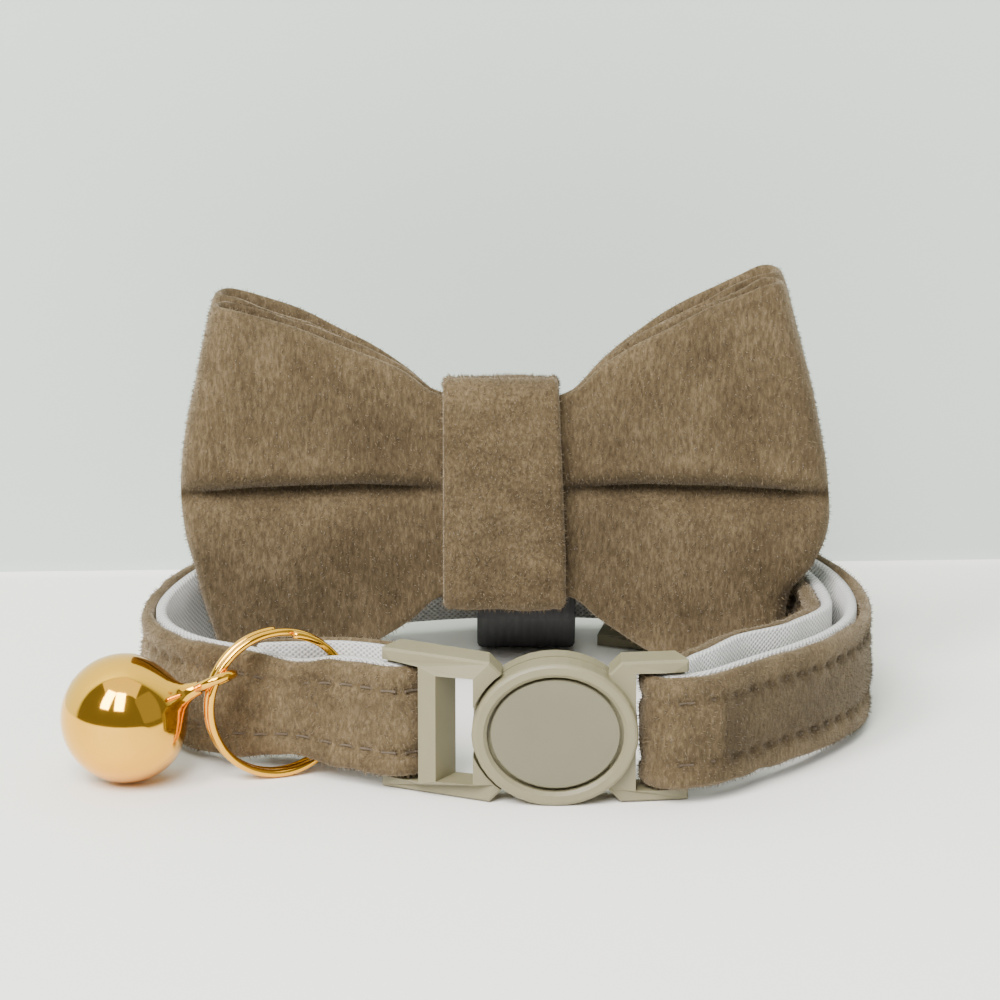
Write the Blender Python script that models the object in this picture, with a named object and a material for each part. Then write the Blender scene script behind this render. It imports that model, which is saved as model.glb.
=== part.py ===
"""Kitten collar: a velvet strap with a bow tie, a breakaway buckle and a jingle bell.

The collar stands on its edge on a flat surface, as a closed loop. +X runs to the right as
the buckle is looked at, +Y runs from the buckle to the back of the loop, +Z is up. Places
along the loop are given by s, the distance to the right of the buckle's middle, and by n,
the distance inward from the line through the middle of the buckle's thickness.
"""
import math

import bmesh
import bpy
import numpy as np
from mathutils import Matrix, Vector

for thing in list(bpy.data.objects):
    bpy.data.objects.remove(thing, do_unlink=True)

MM = 0.001
GAP = 0.30 * MM

# Loop of the collar, on the line through the buckle's thickness
LOOP_WIDTH = 58.4 * MM
LOOP_DEPTH = 49.2 * MM
FLAT_HALF = 6.9 * MM
LOOP_STATIONS = (
    # (across as a share of LOOP_WIDTH, back as a share of LOOP_DEPTH), counterclockwise
    (0.190, 0.016),
    (0.253, 0.083),
    (0.325, 0.179),
    (0.380, 0.278),
    (0.421, 0.400),
    (0.431, 0.530),
    (0.400, 0.715),
    (0.302, 0.880),
    (0.128, 0.980),
    (-0.086, 1.000),
    (-0.290, 0.935),
    (-0.472, 0.775),
    (-0.556, 0.580),
    (-0.569, 0.430),
    (-0.490, 0.256),
    (-0.351, 0.158),
    (-0.214, 0.066),
)

# Strap: velvet on webbing
STRAP_WIDTH = 9.8 * MM
WEBBING_THICK = 0.95 * MM
VELVET_THICK = 1.00 * MM
SEWN_GAP = 0.25 * MM
STRAP_STEP = 2.2 * MM
WRAP_STEPS = 8
MIDDLE_HEIGHT = 6.3 * MM
SIDE_SAG = 0.9 * MM

# Breakaway buckle
BAR_THICK = 1.2 * MM
BAR_LEFT = 14.75 * MM
BAR_RIGHT = 10.25 * MM
FRAME_HEIGHT = 12.4 * MM
FRAME_THICK = 3.3 * MM
FRAME_EDGE = 0.2 * MM
ARM_HEIGHT = 1.0 * MM
CROSSBAR_WIDTH = 1.6 * MM
CROSSBAR_AT = 10.3 * MM
LIGHT_WINDOW_HEIGHT = 9.4 * MM
LIGHT_WINDOW_END = 6.95 * MM
CHAMFER = 1.1 * MM
SHOULDER = 5.6 * MM
DISC_WIDTH = 14.1 * MM
DISC_HEIGHT = 12.6 * MM
DISC_FRONT = 2.6 * MM
DISC_SPLIT = 0.2 * MM
REAR_PLATE_THICK = 2.0 * MM
RIM_WIDTH = 1.2 * MM
RECESS_DEPTH = 1.15 * MM
BADGE_THICK = 0.5 * MM
DISC_SIDES = 40

# Slider at the back of the loop
SLIDER_AT = 0.405
SLIDER_LENGTH = 11.0 * MM
SLIDER_RAIL = 1.0 * MM
SLIDER_TAIL = 4.0 * MM
SLIDER_APPROACH = 0.78

# Ends of the strap, folded back inside the loop
LEFT_TAIL = 13.5 * MM
TAIL_BULGE = 1.6 * MM
TAIL_LIFT_SHARE = 0.7
INNER_BULGE = 2.6 * MM
INNER_SETTLE_FROM = 0.22
INNER_SETTLE_TO = 0.50
LAYER_GAP = 1.2 * MM

# Split ring
RING_OUTER = 13.2 * MM
RING_WIRE = 0.7 * MM
RING_PITCH = 0.82 * MM
RING_TURNS = 1.97
RING_TURN_STEPS = 30
RING_WIRE_SIDES = 6
RING_ALONG = 24.0 * MM
RING_OFF_STRAP = 1.4 * MM
RING_YAW = math.radians(22.0)
RING_PINCH = 0.75 * MM
PINCH_LENGTH = 3.0 * MM

# Bell
BELL_RADIUS = 5.6 * MM
BELL_WALL = 0.7 * MM
BELL_NECK = 1.35 * MM
BELL_EYE_RADIUS = 1.65 * MM
BELL_EYE_WIRE = 0.8 * MM
BELL_SLIT = 0.9 * MM
BELL_SLIT_REACH = 3.4 * MM
BELL_SIDES = 28
BELL_POLE = 0.07
BELL_NECK_ANGLE = math.radians(28.0)
BELL_NECK_SHAPE = (
    # (share of the way from the ball's shoulder to the eye, radius share at the shoulder)
    (0.45, 0.60),
    (0.80, 0.38),
    (1.00, 0.30),
)
EYE_STEPS = 16
BELL_RISE = math.radians(24.0)
BELL_TURN = math.radians(-5.0)
EYE_ON_RING = math.radians(24.0)

# Bow
BOW_HALF_WIDTH = 29.4 * MM
BOW_ACROSS = -4.3 * MM
BOW_FRONT = 28.5 * MM
BOW_MIDDLE_HEIGHT = 18.9 * MM
BOW_TOP_LEFT = 17.3 * MM
BOW_TOP_RIGHT = 19.5 * MM
BOW_BOTTOM = 18.7 * MM
BOW_CLOTH = 1.2 * MM
FRONT_LOOP_DEPTH = 4.4 * MM
REAR_LOOP_DEPTH = 5.0 * MM
REAR_LOOP_LOWER = 0.74
REAR_LOOP_TUCK = 0.34
WAIST_SETBACK = 1.5 * MM
PLEAT_DEPTH = 1.7 * MM
PLEAT_HEIGHT = 0.13
PLEAT_FADE = 0.35
WING_BULGE = 0.8 * MM
FOLD_STEPS = 4
WAIST_BLEND = 0.40
REACH_BLEND = 0.72

# Band and elastic of the bow
BAND_WIDTH = 11.0 * MM
BAND_HEIGHT = 21.7 * MM
BAND_ROUND = 1.6 * MM
BAND_BACK_DROP = 1.8 * MM
ELASTIC_WIDTH = 9.0 * MM
ELASTIC_THICK = 0.8 * MM
ELASTIC_ACROSS = 2.0 * MM
ELASTIC_TOP = 24.6 * MM
ELASTIC_FRONT_LOW = 5.2 * MM
ELASTIC_FOOT = 5.0 * MM
ELASTIC_ROUND = 1.2 * MM

WAIST_SHARE = 0.205
WING_COLUMNS = (
    # (share of the half width, share of the rise from the waist to the wing's end)
    (0.000, 0.00),
    (WAIST_SHARE, 0.00),
    (0.255, 0.20),
    (0.330, 0.36),
    (0.430, 0.52),
    (0.560, 0.68),
    (0.700, 0.83),
    (0.840, 0.94),
    (0.930, 1.00),
)
WING_ROWS = (
    # (height share from the middle, reach share of the outer fold, left wing, then right)
    (-1.00, 0.845, 0.835),
    (-0.80, 0.875, 0.855),
    (-0.55, 0.925, 0.870),
    (-0.46, 0.945, 0.885),
    (-0.38, 0.958, 0.955),
    (-0.18, 0.985, 1.000),
    (-0.07, 0.995, 1.000),
    (0.00, 0.997, 0.997),
    (0.07, 0.995, 0.993),
    (0.16, 0.989, 0.986),
    (0.35, 0.972, 0.958),
    (0.60, 0.945, 0.920),
    (0.82, 0.914, 0.880),
    (1.00, 0.897, 0.855),
)


def material(name, colour, rough, metal=0.0):
    """A plain Principled material."""
    made = bpy.data.materials.new(name)
    made.use_nodes = True
    shader = made.node_tree.nodes["Principled BSDF"]
    shader.inputs["Base Color"].default_value = (*colour, 1.0)
    shader.inputs["Roughness"].default_value = rough
    shader.inputs["Metallic"].default_value = metal
    made.diffuse_color = (*colour, 1.0)
    return made


VELVET = material("velvet", (0.26, 0.20, 0.13), 0.9)
WEBBING = material("webbing", (0.60, 0.60, 0.57), 0.85)
PLASTIC = material("warm_grey_plastic", (0.58, 0.55, 0.46), 0.4)
BADGE = material("badge_grey", (0.38, 0.35, 0.28), 0.35)
GOLD = material("gold", (0.90, 0.62, 0.28), 0.12, 1.0)
ELASTIC = material("black_elastic", (0.02, 0.02, 0.02), 0.8)


def finish(name, mesh_data, look, smooth=True):
    """One named object from a bmesh, with its faces turned outward."""
    bmesh.ops.recalc_face_normals(mesh_data, faces=mesh_data.faces[:])
    mesh = bpy.data.meshes.new(name)
    mesh_data.to_mesh(mesh)
    mesh_data.free()
    mesh.materials.append(look)
    if smooth:
        mesh.shade_smooth()
        mesh.set_sharp_from_angle(angle=math.radians(35.0))
    thing = bpy.data.objects.new(name, mesh)
    bpy.context.scene.collection.objects.link(thing)
    return thing


def combine(base, tool, operation):
    """The base object cut by, or joined with, the tool object, which is used up."""
    change = base.modifiers.new(operation.lower(), "BOOLEAN")
    change.operation = operation
    change.solver = "EXACT"
    change.object = tool
    graph = bpy.context.evaluated_depsgraph_get()
    result = bpy.data.meshes.new_from_object(base.evaluated_get(graph))
    base.modifiers.remove(change)
    base.data = result
    bpy.data.objects.remove(tool, do_unlink=True)


def skin(rings, closed_along=False):
    """A bmesh skinned over rings of equal length, capped unless it closes on itself."""
    made = bmesh.new()
    rows = [[made.verts.new(point) for point in ring] for ring in rings]
    count = len(rows[0])
    spans = len(rows) if closed_along else len(rows) - 1
    for i in range(spans):
        near, far = rows[i], rows[(i + 1) % len(rows)]
        for j in range(count):
            k = (j + 1) % count
            made.faces.new((near[j], near[k], far[k], far[j]))
    if not closed_along:
        made.faces.new(rows[0])
        made.faces.new(list(reversed(rows[-1])))
    return made


def clamped_spline(points, per_span):
    """A smooth line through points that starts and ends along +X."""
    points = np.array(points)
    spans = np.linalg.norm(np.diff(points, axis=0), axis=1)
    slopes = np.diff(points, axis=0) / spans[:, None]
    count = len(points)
    system = np.zeros((count, count))
    right = np.zeros((count, 2))
    system[0, 0] = system[-1, -1] = 1.0
    right[0] = right[-1] = (1.0, 0.0)
    for i in range(1, count - 1):
        system[i, i - 1] = spans[i]
        system[i, i] = 2.0 * (spans[i - 1] + spans[i])
        system[i, i + 1] = spans[i - 1]
        right[i] = 3.0 * (spans[i] * slopes[i - 1] + spans[i - 1] * slopes[i])
    pull = np.linalg.solve(system, right)
    line = []
    for i in range(count - 1):
        for t in np.linspace(0.0, 1.0, per_span, endpoint=False):
            line.append(
                points[i] * (2 * t**3 - 3 * t**2 + 1)
                + pull[i] * spans[i] * (t**3 - 2 * t**2 + t)
                + points[i + 1] * (-2 * t**3 + 3 * t**2)
                + pull[i + 1] * spans[i] * (t**3 - t**2)
            )
    line.append(points[-1])
    return np.array(line)


def loop_line():
    """The closed loop as points, starting at the buckle's middle and going right."""
    stations = [(FLAT_HALF, 0.0)]
    stations += [(x * LOOP_WIDTH, y * LOOP_DEPTH) for x, y in LOOP_STATIONS]
    stations.append((-FLAT_HALF, 0.0))
    curve = clamped_spline(stations, 24)
    return np.vstack([[(0.0, 0.0)], curve, [(0.0, 0.0)]])


LINE = loop_line()
STEPS = np.diff(LINE, axis=0)
REACHED = np.concatenate([[0.0], np.cumsum(np.linalg.norm(STEPS, axis=1))])
LOOP_LENGTH = REACHED[-1]
HEADINGS = np.unwrap(np.arctan2(STEPS[:, 1], STEPS[:, 0]))
HEADING_PLACES = (REACHED[1:] + REACHED[:-1]) / 2


def along(s, n):
    """The point at distance s round the loop and n inward, and the heading there."""
    s = s % LOOP_LENGTH
    x = np.interp(s, REACHED, LINE[:, 0])
    y = np.interp(s, REACHED, LINE[:, 1])
    heading = np.interp(s, HEADING_PLACES, HEADINGS)
    return x - n * math.sin(heading), y + n * math.cos(heading), heading


def centre_height(s):
    """The strap's middle height: level at the buckle and the back, lower at the sides."""
    share = (s % LOOP_LENGTH) / LOOP_LENGTH
    share = min(share, 1.0 - share)
    phase = min(max((share - 0.10) / 0.29, 0.0), 1.0)
    return MIDDLE_HEIGHT - SIDE_SAG * math.sin(math.pi * phase) ** 2


def bend(thing):
    """Turns an object built flat, with X along s and Y along n, onto the loop."""
    for vertex in thing.data.vertices:
        s, n, z = vertex.co
        if abs(s) > FLAT_HALF:
            x, y, _ = along(s, n)
            vertex.co = (x, y, z)


WRAP_RADIUS = BAR_THICK / 2 + GAP
STRAP_THICK = WEBBING_THICK + SEWN_GAP + VELVET_THICK
OUTER_RUN = -WRAP_RADIUS
SLIDER_BAR = OUTER_RUN + GAP + STRAP_THICK + WRAP_RADIUS

TAIL_SHAPE = (
    # (share of the folded tail, share of TAIL_BULGE from the sewn end to the bar)
    (0.00, 0.00),
    (0.25, 0.45),
    (0.50, 1.00),
    (0.75, 0.90),
    (1.00, 0.00),
)
INNER_SHAPE = (
    # (share of the inner layer's run, share of INNER_BULGE)
    (0.00, 0.00),
    (0.10, 0.55),
    (0.22, 1.00),
    (0.36, 0.55),
    (0.50, 0.00),
    (1.00, 0.00),
)


def smooth_table(table, share):
    """A value read from a table of (share, value) rows with eased steps between them."""
    for (a, low), (b, high) in zip(table, table[1:]):
        if share <= b:
            t = (share - a) / (b - a)
            return low + (high - low) * (3 * t**2 - 2 * t**3)
    return table[-1][1]


def wrap_points(s_bar, n_bar, first, last):
    """Points round a bar from one side to the other, as turning angles in the s-n plane."""
    places = []
    for i in range(1, WRAP_STEPS):
        angle = first + (last - first) * i / WRAP_STEPS
        across, inward = WRAP_RADIUS * math.cos(angle), WRAP_RADIUS * math.sin(angle)
        places.append((s_bar + across, n_bar + inward))
    return places


def strap_route():
    """The strap's run as (s, n) places: tail, left bar, round the back, right bar, inner layer."""
    places = []
    sewn = OUTER_RUN + GAP
    count = round(LEFT_TAIL / STRAP_STEP) + 1
    for i in range(count + 1):
        share = i / count
        rise = WRAP_RADIUS - sewn
        level = sewn + rise * min(share / TAIL_LIFT_SHARE, 1.0)
        level += TAIL_BULGE * smooth_table(TAIL_SHAPE, share)
        places.append((-BAR_LEFT - LEFT_TAIL * (1 - share), level))
    places += wrap_points(-BAR_LEFT, 0.0, math.pi / 2, -math.pi / 2)
    start, end = -BAR_LEFT, BAR_RIGHT - LOOP_LENGTH
    count = round((start - end) / STRAP_STEP)
    for i in range(count + 1):
        places.append((start + (end - start) * i / count, OUTER_RUN))
    places += wrap_points(end, 0.0, -math.pi / 2, -3 * math.pi / 2)
    slider = SLIDER_AT * LOOP_LENGTH - LOOP_LENGTH
    run = slider - end
    count = round(run / STRAP_STEP)
    near = LAYER_GAP + OUTER_RUN
    far = SLIDER_BAR + WRAP_RADIUS
    for i in range(count + 1):
        share = i / count
        settled = (share - INNER_SETTLE_FROM) / (INNER_SETTLE_TO - INNER_SETTLE_FROM)
        base = WRAP_RADIUS + (near - WRAP_RADIUS) * min(max(settled, 0.0), 1.0)
        if share > SLIDER_APPROACH:
            t = (share - SLIDER_APPROACH) / (1.0 - SLIDER_APPROACH)
            base = near + (far - near) * (3 * t**2 - 2 * t**3)
        places.append((end + run * share, base + INNER_BULGE * smooth_table(INNER_SHAPE, share)))
    places += wrap_points(slider, SLIDER_BAR, math.pi / 2, -math.pi / 2)
    for i in range(3):
        places.append((slider - SLIDER_TAIL * i / 2, SLIDER_BAR - WRAP_RADIUS))
    return places


def half_width(s, n):
    """Half the strap's width, pinched where the split ring goes round its outer layer."""
    from_ring = (s % LOOP_LENGTH) - (LOOP_LENGTH - RING_ALONG)
    pinch = RING_PINCH if n <= OUTER_RUN + GAP else 0.0
    return STRAP_WIDTH / 2 - pinch * math.exp(-((from_ring / PINCH_LENGTH) ** 2))


ROUTE = strap_route()


def strip(name, inner, outer, look):
    """One layer of the strap, between two distances from the route's line."""
    flat = np.array([along(s, n)[:2] for s, n in ROUTE])
    steps = np.diff(flat, axis=0)
    steps /= np.linalg.norm(steps, axis=1)[:, None]
    heads = np.vstack([steps[:1], steps[1:] + steps[:-1], steps[-1:]])
    heads /= np.linalg.norm(heads, axis=1)[:, None]
    rings = []
    for (s, n), point, head in zip(ROUTE, flat, heads):
        left = np.array((-head[1], head[0]))
        middle, half = centre_height(s), half_width(s, n)
        near, far = point + left * inner, point + left * outer
        rings.append([
            (*near, middle - half),
            (*far, middle - half),
            (*far, middle + half),
            (*near, middle + half),
        ])
    return finish(name, skin(rings), look)


def slab(name, outline, front, back, edge=0.0):
    """A flat piece cut to an outline in the s-z plane, with eased long edges."""
    made = bmesh.new()
    low = [made.verts.new((s, front, z)) for s, z in outline]
    face = made.faces.new(low)
    moved = bmesh.ops.extrude_face_region(made, geom=[face])
    lifted = [v for v in moved["geom"] if isinstance(v, bmesh.types.BMVert)]
    bmesh.ops.translate(made, verts=lifted, vec=(0.0, back - front, 0.0))
    if edge:
        rims = [e for e in made.edges if abs(e.verts[0].co.y - e.verts[1].co.y) < 1e-7]
        bmesh.ops.bevel(made, geom=rims, offset=edge, segments=1, affect="EDGES", profile=0.5)
    return finish(name, made, PLASTIC)


def box(name, s_range, n_range, z_range):
    """A plain block given by its ranges."""
    outline = [
        (s_range[0], z_range[0]),
        (s_range[1], z_range[0]),
        (s_range[1], z_range[1]),
        (s_range[0], z_range[1]),
    ]
    return slab(name, outline, n_range[0], n_range[1])


def oval_rings(name, profile, look, sides=DISC_SIDES):
    """A turned oval piece: rows of (inset from the disc's outline, n)."""
    rings = []
    for inset, n in profile:
        ring = []
        for i in range(sides):
            angle = 2 * math.pi * i / sides
            across = (DISC_WIDTH / 2 - inset) * math.cos(angle)
            up = (DISC_HEIGHT / 2 - inset) * math.sin(angle)
            ring.append((across, n, MIDDLE_HEIGHT + up))
        rings.append(ring)
    return finish(name, skin(rings), look)


def buckle_frame(name, side, bar, windows):
    """One half's flat frame: side is -1 for left, windows are (near, far, height)."""
    half = FRAME_HEIGHT / 2
    tip = bar + BAR_THICK / 2
    shape = [
        (tip, -half),
        (SHOULDER, -half),
        (SHOULDER - CHAMFER, -half + CHAMFER),
        (SHOULDER - CHAMFER, half - CHAMFER),
        (SHOULDER, half),
        (tip, half),
    ]
    outline = [(side * s, MIDDLE_HEIGHT + z) for s, z in shape]
    frame = slab(name, outline, -FRAME_THICK / 2, FRAME_THICK / 2, FRAME_EDGE)
    for near, far, height in windows:
        z_range = (MIDDLE_HEIGHT - height / 2, MIDDLE_HEIGHT + height / 2)
        s_range = sorted((side * near, side * far))
        combine(frame, box("window", s_range, (-FRAME_THICK, FRAME_THICK), z_range), "DIFFERENCE")
    bar_near = bar - BAR_THICK / 2
    strap_half = FRAME_HEIGHT / 2 - ARM_HEIGHT
    z_range = (MIDDLE_HEIGHT - strap_half, MIDDLE_HEIGHT + strap_half)
    for n_range in ((-FRAME_THICK, -BAR_THICK / 2), (BAR_THICK / 2, FRAME_THICK)):
        s_range = sorted((side * (bar_near - MM), side * (tip + MM)))
        combine(frame, box("bar_relief", s_range, n_range, z_range), "DIFFERENCE")
    return frame


def make_buckle():
    """Both halves of the buckle and the plate in its face."""
    window = FRAME_HEIGHT - 2 * ARM_HEIGHT
    far_left = BAR_LEFT - BAR_THICK / 2
    far_right = BAR_RIGHT - BAR_THICK / 2
    crossbar = CROSSBAR_WIDTH / 2
    left = buckle_frame(
        "buckle_left",
        -1,
        BAR_LEFT,
        [
            (CROSSBAR_AT + crossbar, far_left, window),
            (LIGHT_WINDOW_END, CROSSBAR_AT - crossbar, LIGHT_WINDOW_HEIGHT),
        ],
    )
    reach = BAR_RIGHT - WRAP_RADIUS - STRAP_THICK - GAP
    right = buckle_frame("buckle_right", 1, BAR_RIGHT, [(reach, far_right, window)])
    split = DISC_SPLIT
    back = -split + GAP
    cut = oval_rings("cut", [(-GAP, -2 * DISC_FRONT), (-GAP, back)], PLASTIC)
    combine(left, cut, "DIFFERENCE")
    plate = oval_rings(
        "plate",
        [
            (0.0, back),
            (0.0, back + REAR_PLATE_THICK - FRAME_EDGE),
            (FRAME_EDGE, back + REAR_PLATE_THICK),
        ],
        PLASTIC,
    )
    combine(left, plate, "UNION")
    cut = oval_rings("cut", [(-GAP, -split), (-GAP, 2 * DISC_FRONT)], PLASTIC)
    combine(right, cut, "DIFFERENCE")
    ease = RIM_WIDTH / 4
    housing = oval_rings(
        "housing",
        [
            (0.0, -split),
            (0.0, -DISC_FRONT + ease),
            (ease * 0.35, -DISC_FRONT + ease * 0.35),
            (ease, -DISC_FRONT),
            (RIM_WIDTH - ease, -DISC_FRONT),
            (RIM_WIDTH, -DISC_FRONT + ease),
            (RIM_WIDTH, -DISC_FRONT + RECESS_DEPTH),
        ],
        PLASTIC,
    )
    combine(right, housing, "UNION")
    bend(left)
    bend(right)
    seat = -DISC_FRONT + RECESS_DEPTH - GAP
    oval_rings(
        "badge_plate",
        [
            (RIM_WIDTH + GAP, seat),
            (RIM_WIDTH + GAP, seat - BADGE_THICK + FRAME_EDGE / 2),
            (RIM_WIDTH + GAP + FRAME_EDGE / 2, seat - BADGE_THICK),
        ],
        BADGE,
    )


def make_slider():
    """The adjuster: two rails, two outer bars outside the strap, one bar inside it."""
    centre = SLIDER_AT * LOOP_LENGTH
    middle = centre_height(centre)
    opening = STRAP_WIDTH / 2 + GAP
    outer_bar = OUTER_RUN - STRAP_THICK - GAP - BAR_THICK / 2
    n_range = (outer_bar - BAR_THICK / 2, SLIDER_BAR + BAR_THICK / 2)
    half = SLIDER_LENGTH / 2
    rails = opening + SLIDER_RAIL
    slider = box("slider", (-half, half), n_range, (middle - rails, middle + rails))
    z_range = (middle - opening, middle + opening)
    inner = (outer_bar + BAR_THICK / 2, n_range[1] + MM)
    combine(slider, box("pocket", (-half - MM, half + MM), inner, z_range), "DIFFERENCE")
    gate = (n_range[0] - MM, n_range[1])
    combine(slider, box("gate", (BAR_THICK - half, half - BAR_THICK), gate, z_range), "DIFFERENCE")
    half_bar = BAR_THICK / 2
    core = (SLIDER_BAR - half_bar, SLIDER_BAR + half_bar)
    into_rails = opening + SLIDER_RAIL / 2
    bar = box("bar", (-half_bar, half_bar), core, (middle - into_rails, middle + into_rails))
    combine(slider, bar, "UNION")
    for vertex in slider.data.vertices:
        s, n, z = vertex.co
        x, y, _ = along(centre + s, n)
        vertex.co = (x, y, z)


def ring_frame():
    """Centre of the split ring, and the direction across it, in its own plane."""
    s = -RING_ALONG
    x, y, _ = along(s, OUTER_RUN - STRAP_THICK / 2)
    across = Vector((math.cos(RING_YAW), math.sin(RING_YAW), 0.0))
    height = RING_OUTER / 2 + GAP / 4
    centre = Vector((x, y, height)) - across * RING_OFF_STRAP
    return centre, across


def make_ring():
    """A split ring: nearly two turns of wire, one beside the other."""
    centre, across = ring_frame()
    up = Vector((0.0, 0.0, 1.0))
    axis = across.cross(up)
    radius = RING_OUTER / 2 - RING_WIRE / 2
    count = round(RING_TURNS * RING_TURN_STEPS)
    rings = []
    for i in range(count + 1):
        turn = i / count * RING_TURNS
        angle = 2 * math.pi * turn + math.pi / 2
        outward = across * math.cos(angle) + up * math.sin(angle)
        spot = centre + outward * radius + axis * RING_PITCH * (turn - RING_TURNS / 2)
        rings.append([
            spot
            + outward * math.cos(2 * math.pi * k / RING_WIRE_SIDES) * RING_WIRE / 2
            + axis * math.sin(2 * math.pi * k / RING_WIRE_SIDES) * RING_WIRE / 2
            for k in range(RING_WIRE_SIDES)
        ])
    finish("split_ring", skin(rings), GOLD)


def turned(name, profile, origin, axis, side, sides, look):
    """A round piece turned about an axis: rows of (distance along the axis, radius)."""
    third = axis.cross(side)
    rings = []
    for reach, radius in profile:
        ring = []
        for i in range(sides):
            angle = 2 * math.pi * i / sides
            offset = side * math.cos(angle) + third * math.sin(angle)
            ring.append(origin + axis * reach + offset * radius)
        rings.append(ring)
    return finish(name, skin(rings), look)


def ball_rows(radius, first, last, count):
    """Rows of a ball's profile between two angles from the axis."""
    rows = []
    for i in range(count + 1):
        angle = first + (last - first) * i / count
        rows.append((radius * math.cos(angle), radius * math.sin(angle)))
    return rows


def make_bell():
    """A hollow pear-shaped bell with a cross slit, and its eye round the split ring."""
    centre, across = ring_frame()
    up = Vector((0.0, 0.0, 1.0))
    ring_radius = RING_OUTER / 2 - RING_WIRE / 2
    lean, lift = math.cos(EYE_ON_RING), math.sin(EYE_ON_RING)
    held = centre - across * ring_radius * lean + up * ring_radius * lift
    wire_way = across * lift + up * lean
    axis = Vector((
        math.cos(BELL_RISE) * math.cos(BELL_TURN),
        math.cos(BELL_RISE) * math.sin(BELL_TURN),
        math.sin(BELL_RISE),
    ))
    eye_reach = BELL_RADIUS + BELL_NECK + BELL_EYE_RADIUS
    origin = held - axis * eye_reach
    origin.z = BELL_RADIUS + GAP / 4
    axis = (held - origin).normalized()
    origin = held - axis * eye_reach
    side = axis.cross(up).normalized()
    rows = ball_rows(BELL_RADIUS, math.pi - BELL_POLE, BELL_NECK_ANGLE, 13)
    shoulder, shoulder_radius = rows[-1]
    top = BELL_RADIUS + BELL_NECK
    for share, radius_share in BELL_NECK_SHAPE:
        rows.append((shoulder + (top - shoulder) * share, shoulder_radius * radius_share))
    bell = turned("bell", rows, origin, axis, side, BELL_SIDES, GOLD)
    cavity_rows = ball_rows(BELL_RADIUS - BELL_WALL, math.pi - BELL_POLE, BELL_POLE, 10)
    cavity = turned("cavity", cavity_rows, origin, axis, side, BELL_SIDES, GOLD)
    combine(bell, cavity, "DIFFERENCE")
    third = axis.cross(side)
    turn = Matrix((side, third, axis)).transposed().to_4x4()
    for across_slit in (False, True):
        long, wide = BELL_SLIT_REACH, BELL_SLIT / 2
        reach = (wide, long) if across_slit else (long, wide)
        made = bmesh.new()
        bmesh.ops.create_cube(made, size=2.0)
        bmesh.ops.scale(made, vec=(reach[0], reach[1], BELL_RADIUS / 2), verts=made.verts[:])
        bmesh.ops.translate(made, vec=(0.0, 0.0, -BELL_RADIUS), verts=made.verts[:])
        slit = finish("slit", made, GOLD)
        slit.data.transform(Matrix.Translation(origin) @ turn)
        combine(bell, slit, "DIFFERENCE")
    eye_normal = (wire_way - axis * wire_way.dot(axis)).normalized()
    eye_side = eye_normal.cross(axis)
    eye_centre = origin + axis * eye_reach
    rings = []
    for i in range(EYE_STEPS):
        angle = 2 * math.pi * i / EYE_STEPS
        outward = axis * math.cos(angle) + eye_side * math.sin(angle)
        spot = eye_centre + outward * BELL_EYE_RADIUS
        rings.append([
            spot
            + outward * math.cos(2 * math.pi * k / RING_WIRE_SIDES) * BELL_EYE_WIRE / 2
            + eye_normal * math.sin(2 * math.pi * k / RING_WIRE_SIDES) * BELL_EYE_WIRE / 2
            for k in range(RING_WIRE_SIDES)
        ])
    eye = finish("eye", skin(rings, closed_along=True), GOLD)
    combine(bell, eye, "UNION")


WAIST_HALF = BAND_HEIGHT / 2 - BOW_CLOTH - GAP


def wing_half_height(rise, top, left, waist_top):
    """Half the bow's height above or below its middle at a wing column."""
    if top:
        end = BOW_TOP_LEFT if left else BOW_TOP_RIGHT
        return waist_top + (end - waist_top) * rise
    return WAIST_HALF + (BOW_BOTTOM - WAIST_HALF) * rise


def wall_outline(front, depth, row, pleated, lower_reach):
    """The closed outer line of a loop at one row: front wall, right fold, back wall, left fold."""
    height, reach_left, reach_right = row
    waist_depth = 2 * BOW_CLOTH + GAP
    waist_front = front + WAIST_SETBACK if pleated else front - GAP
    sag = 1.0 - (1.0 - lower_reach) * min(max(0.0, -height) / REAR_LOOP_TUCK, 1.0)
    line = []

    def wall(share, left, back):
        reach = (reach_left if left else reach_right) * sag
        outward = max(share - WAIST_SHARE, 0.0)
        reach = 1.0 + (reach - 1.0) * min(outward / REACH_BLEND, 1.0)
        across = share * BOW_HALF_WIDTH * reach * (-1 if left else 1)
        blend = min(outward / WAIST_BLEND, 1.0)
        blend = 3 * blend**2 - 2 * blend**3
        face = waist_front + (front - waist_front) * blend
        rear = waist_front + waist_depth + (front + depth - waist_front - waist_depth) * blend
        if pleated and not back:
            valley = math.exp(-((height / PLEAT_HEIGHT) ** 2)) * PLEAT_DEPTH * blend
            valley *= 1.0 - PLEAT_FADE * share
            lobe = WING_BULGE * (1.0 - (2 * abs(height) - 1.0) ** 2) * blend * (1.0 - share)
            face += valley - lobe
            return across, face
        return across, (rear if back else face)

    columns = [share for share, _ in WING_COLUMNS]
    rises = dict(WING_COLUMNS)
    for left, shares in ((True, reversed(columns[1:])), (False, columns)):
        for share in shares:
            line.append((*wall(share, left, False), rises[share], left))
    for left in (False, True):
        near = wall(columns[-1], left, False)
        far = wall(columns[-1], left, True)
        tip = (reach_left if left else reach_right) * sag * BOW_HALF_WIDTH
        bulge = tip - abs(near[0])
        fold = []
        for i in range(1, FOLD_STEPS):
            angle = math.pi * i / FOLD_STEPS
            across = (abs(near[0]) + bulge * math.sin(angle)) * (-1 if left else 1)
            depth_share = (1 - math.cos(angle)) / 2
            fold.append((across, near[1] + (far[1] - near[1]) * depth_share, 1.0, left))
        if left:
            fold.reverse()
        line += fold
        if not left:
            for back_left, shares in ((False, reversed(columns[1:])), (True, columns)):
                for share in shares:
                    line.append((*wall(share, back_left, True), rises[share], back_left))
    return line


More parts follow.
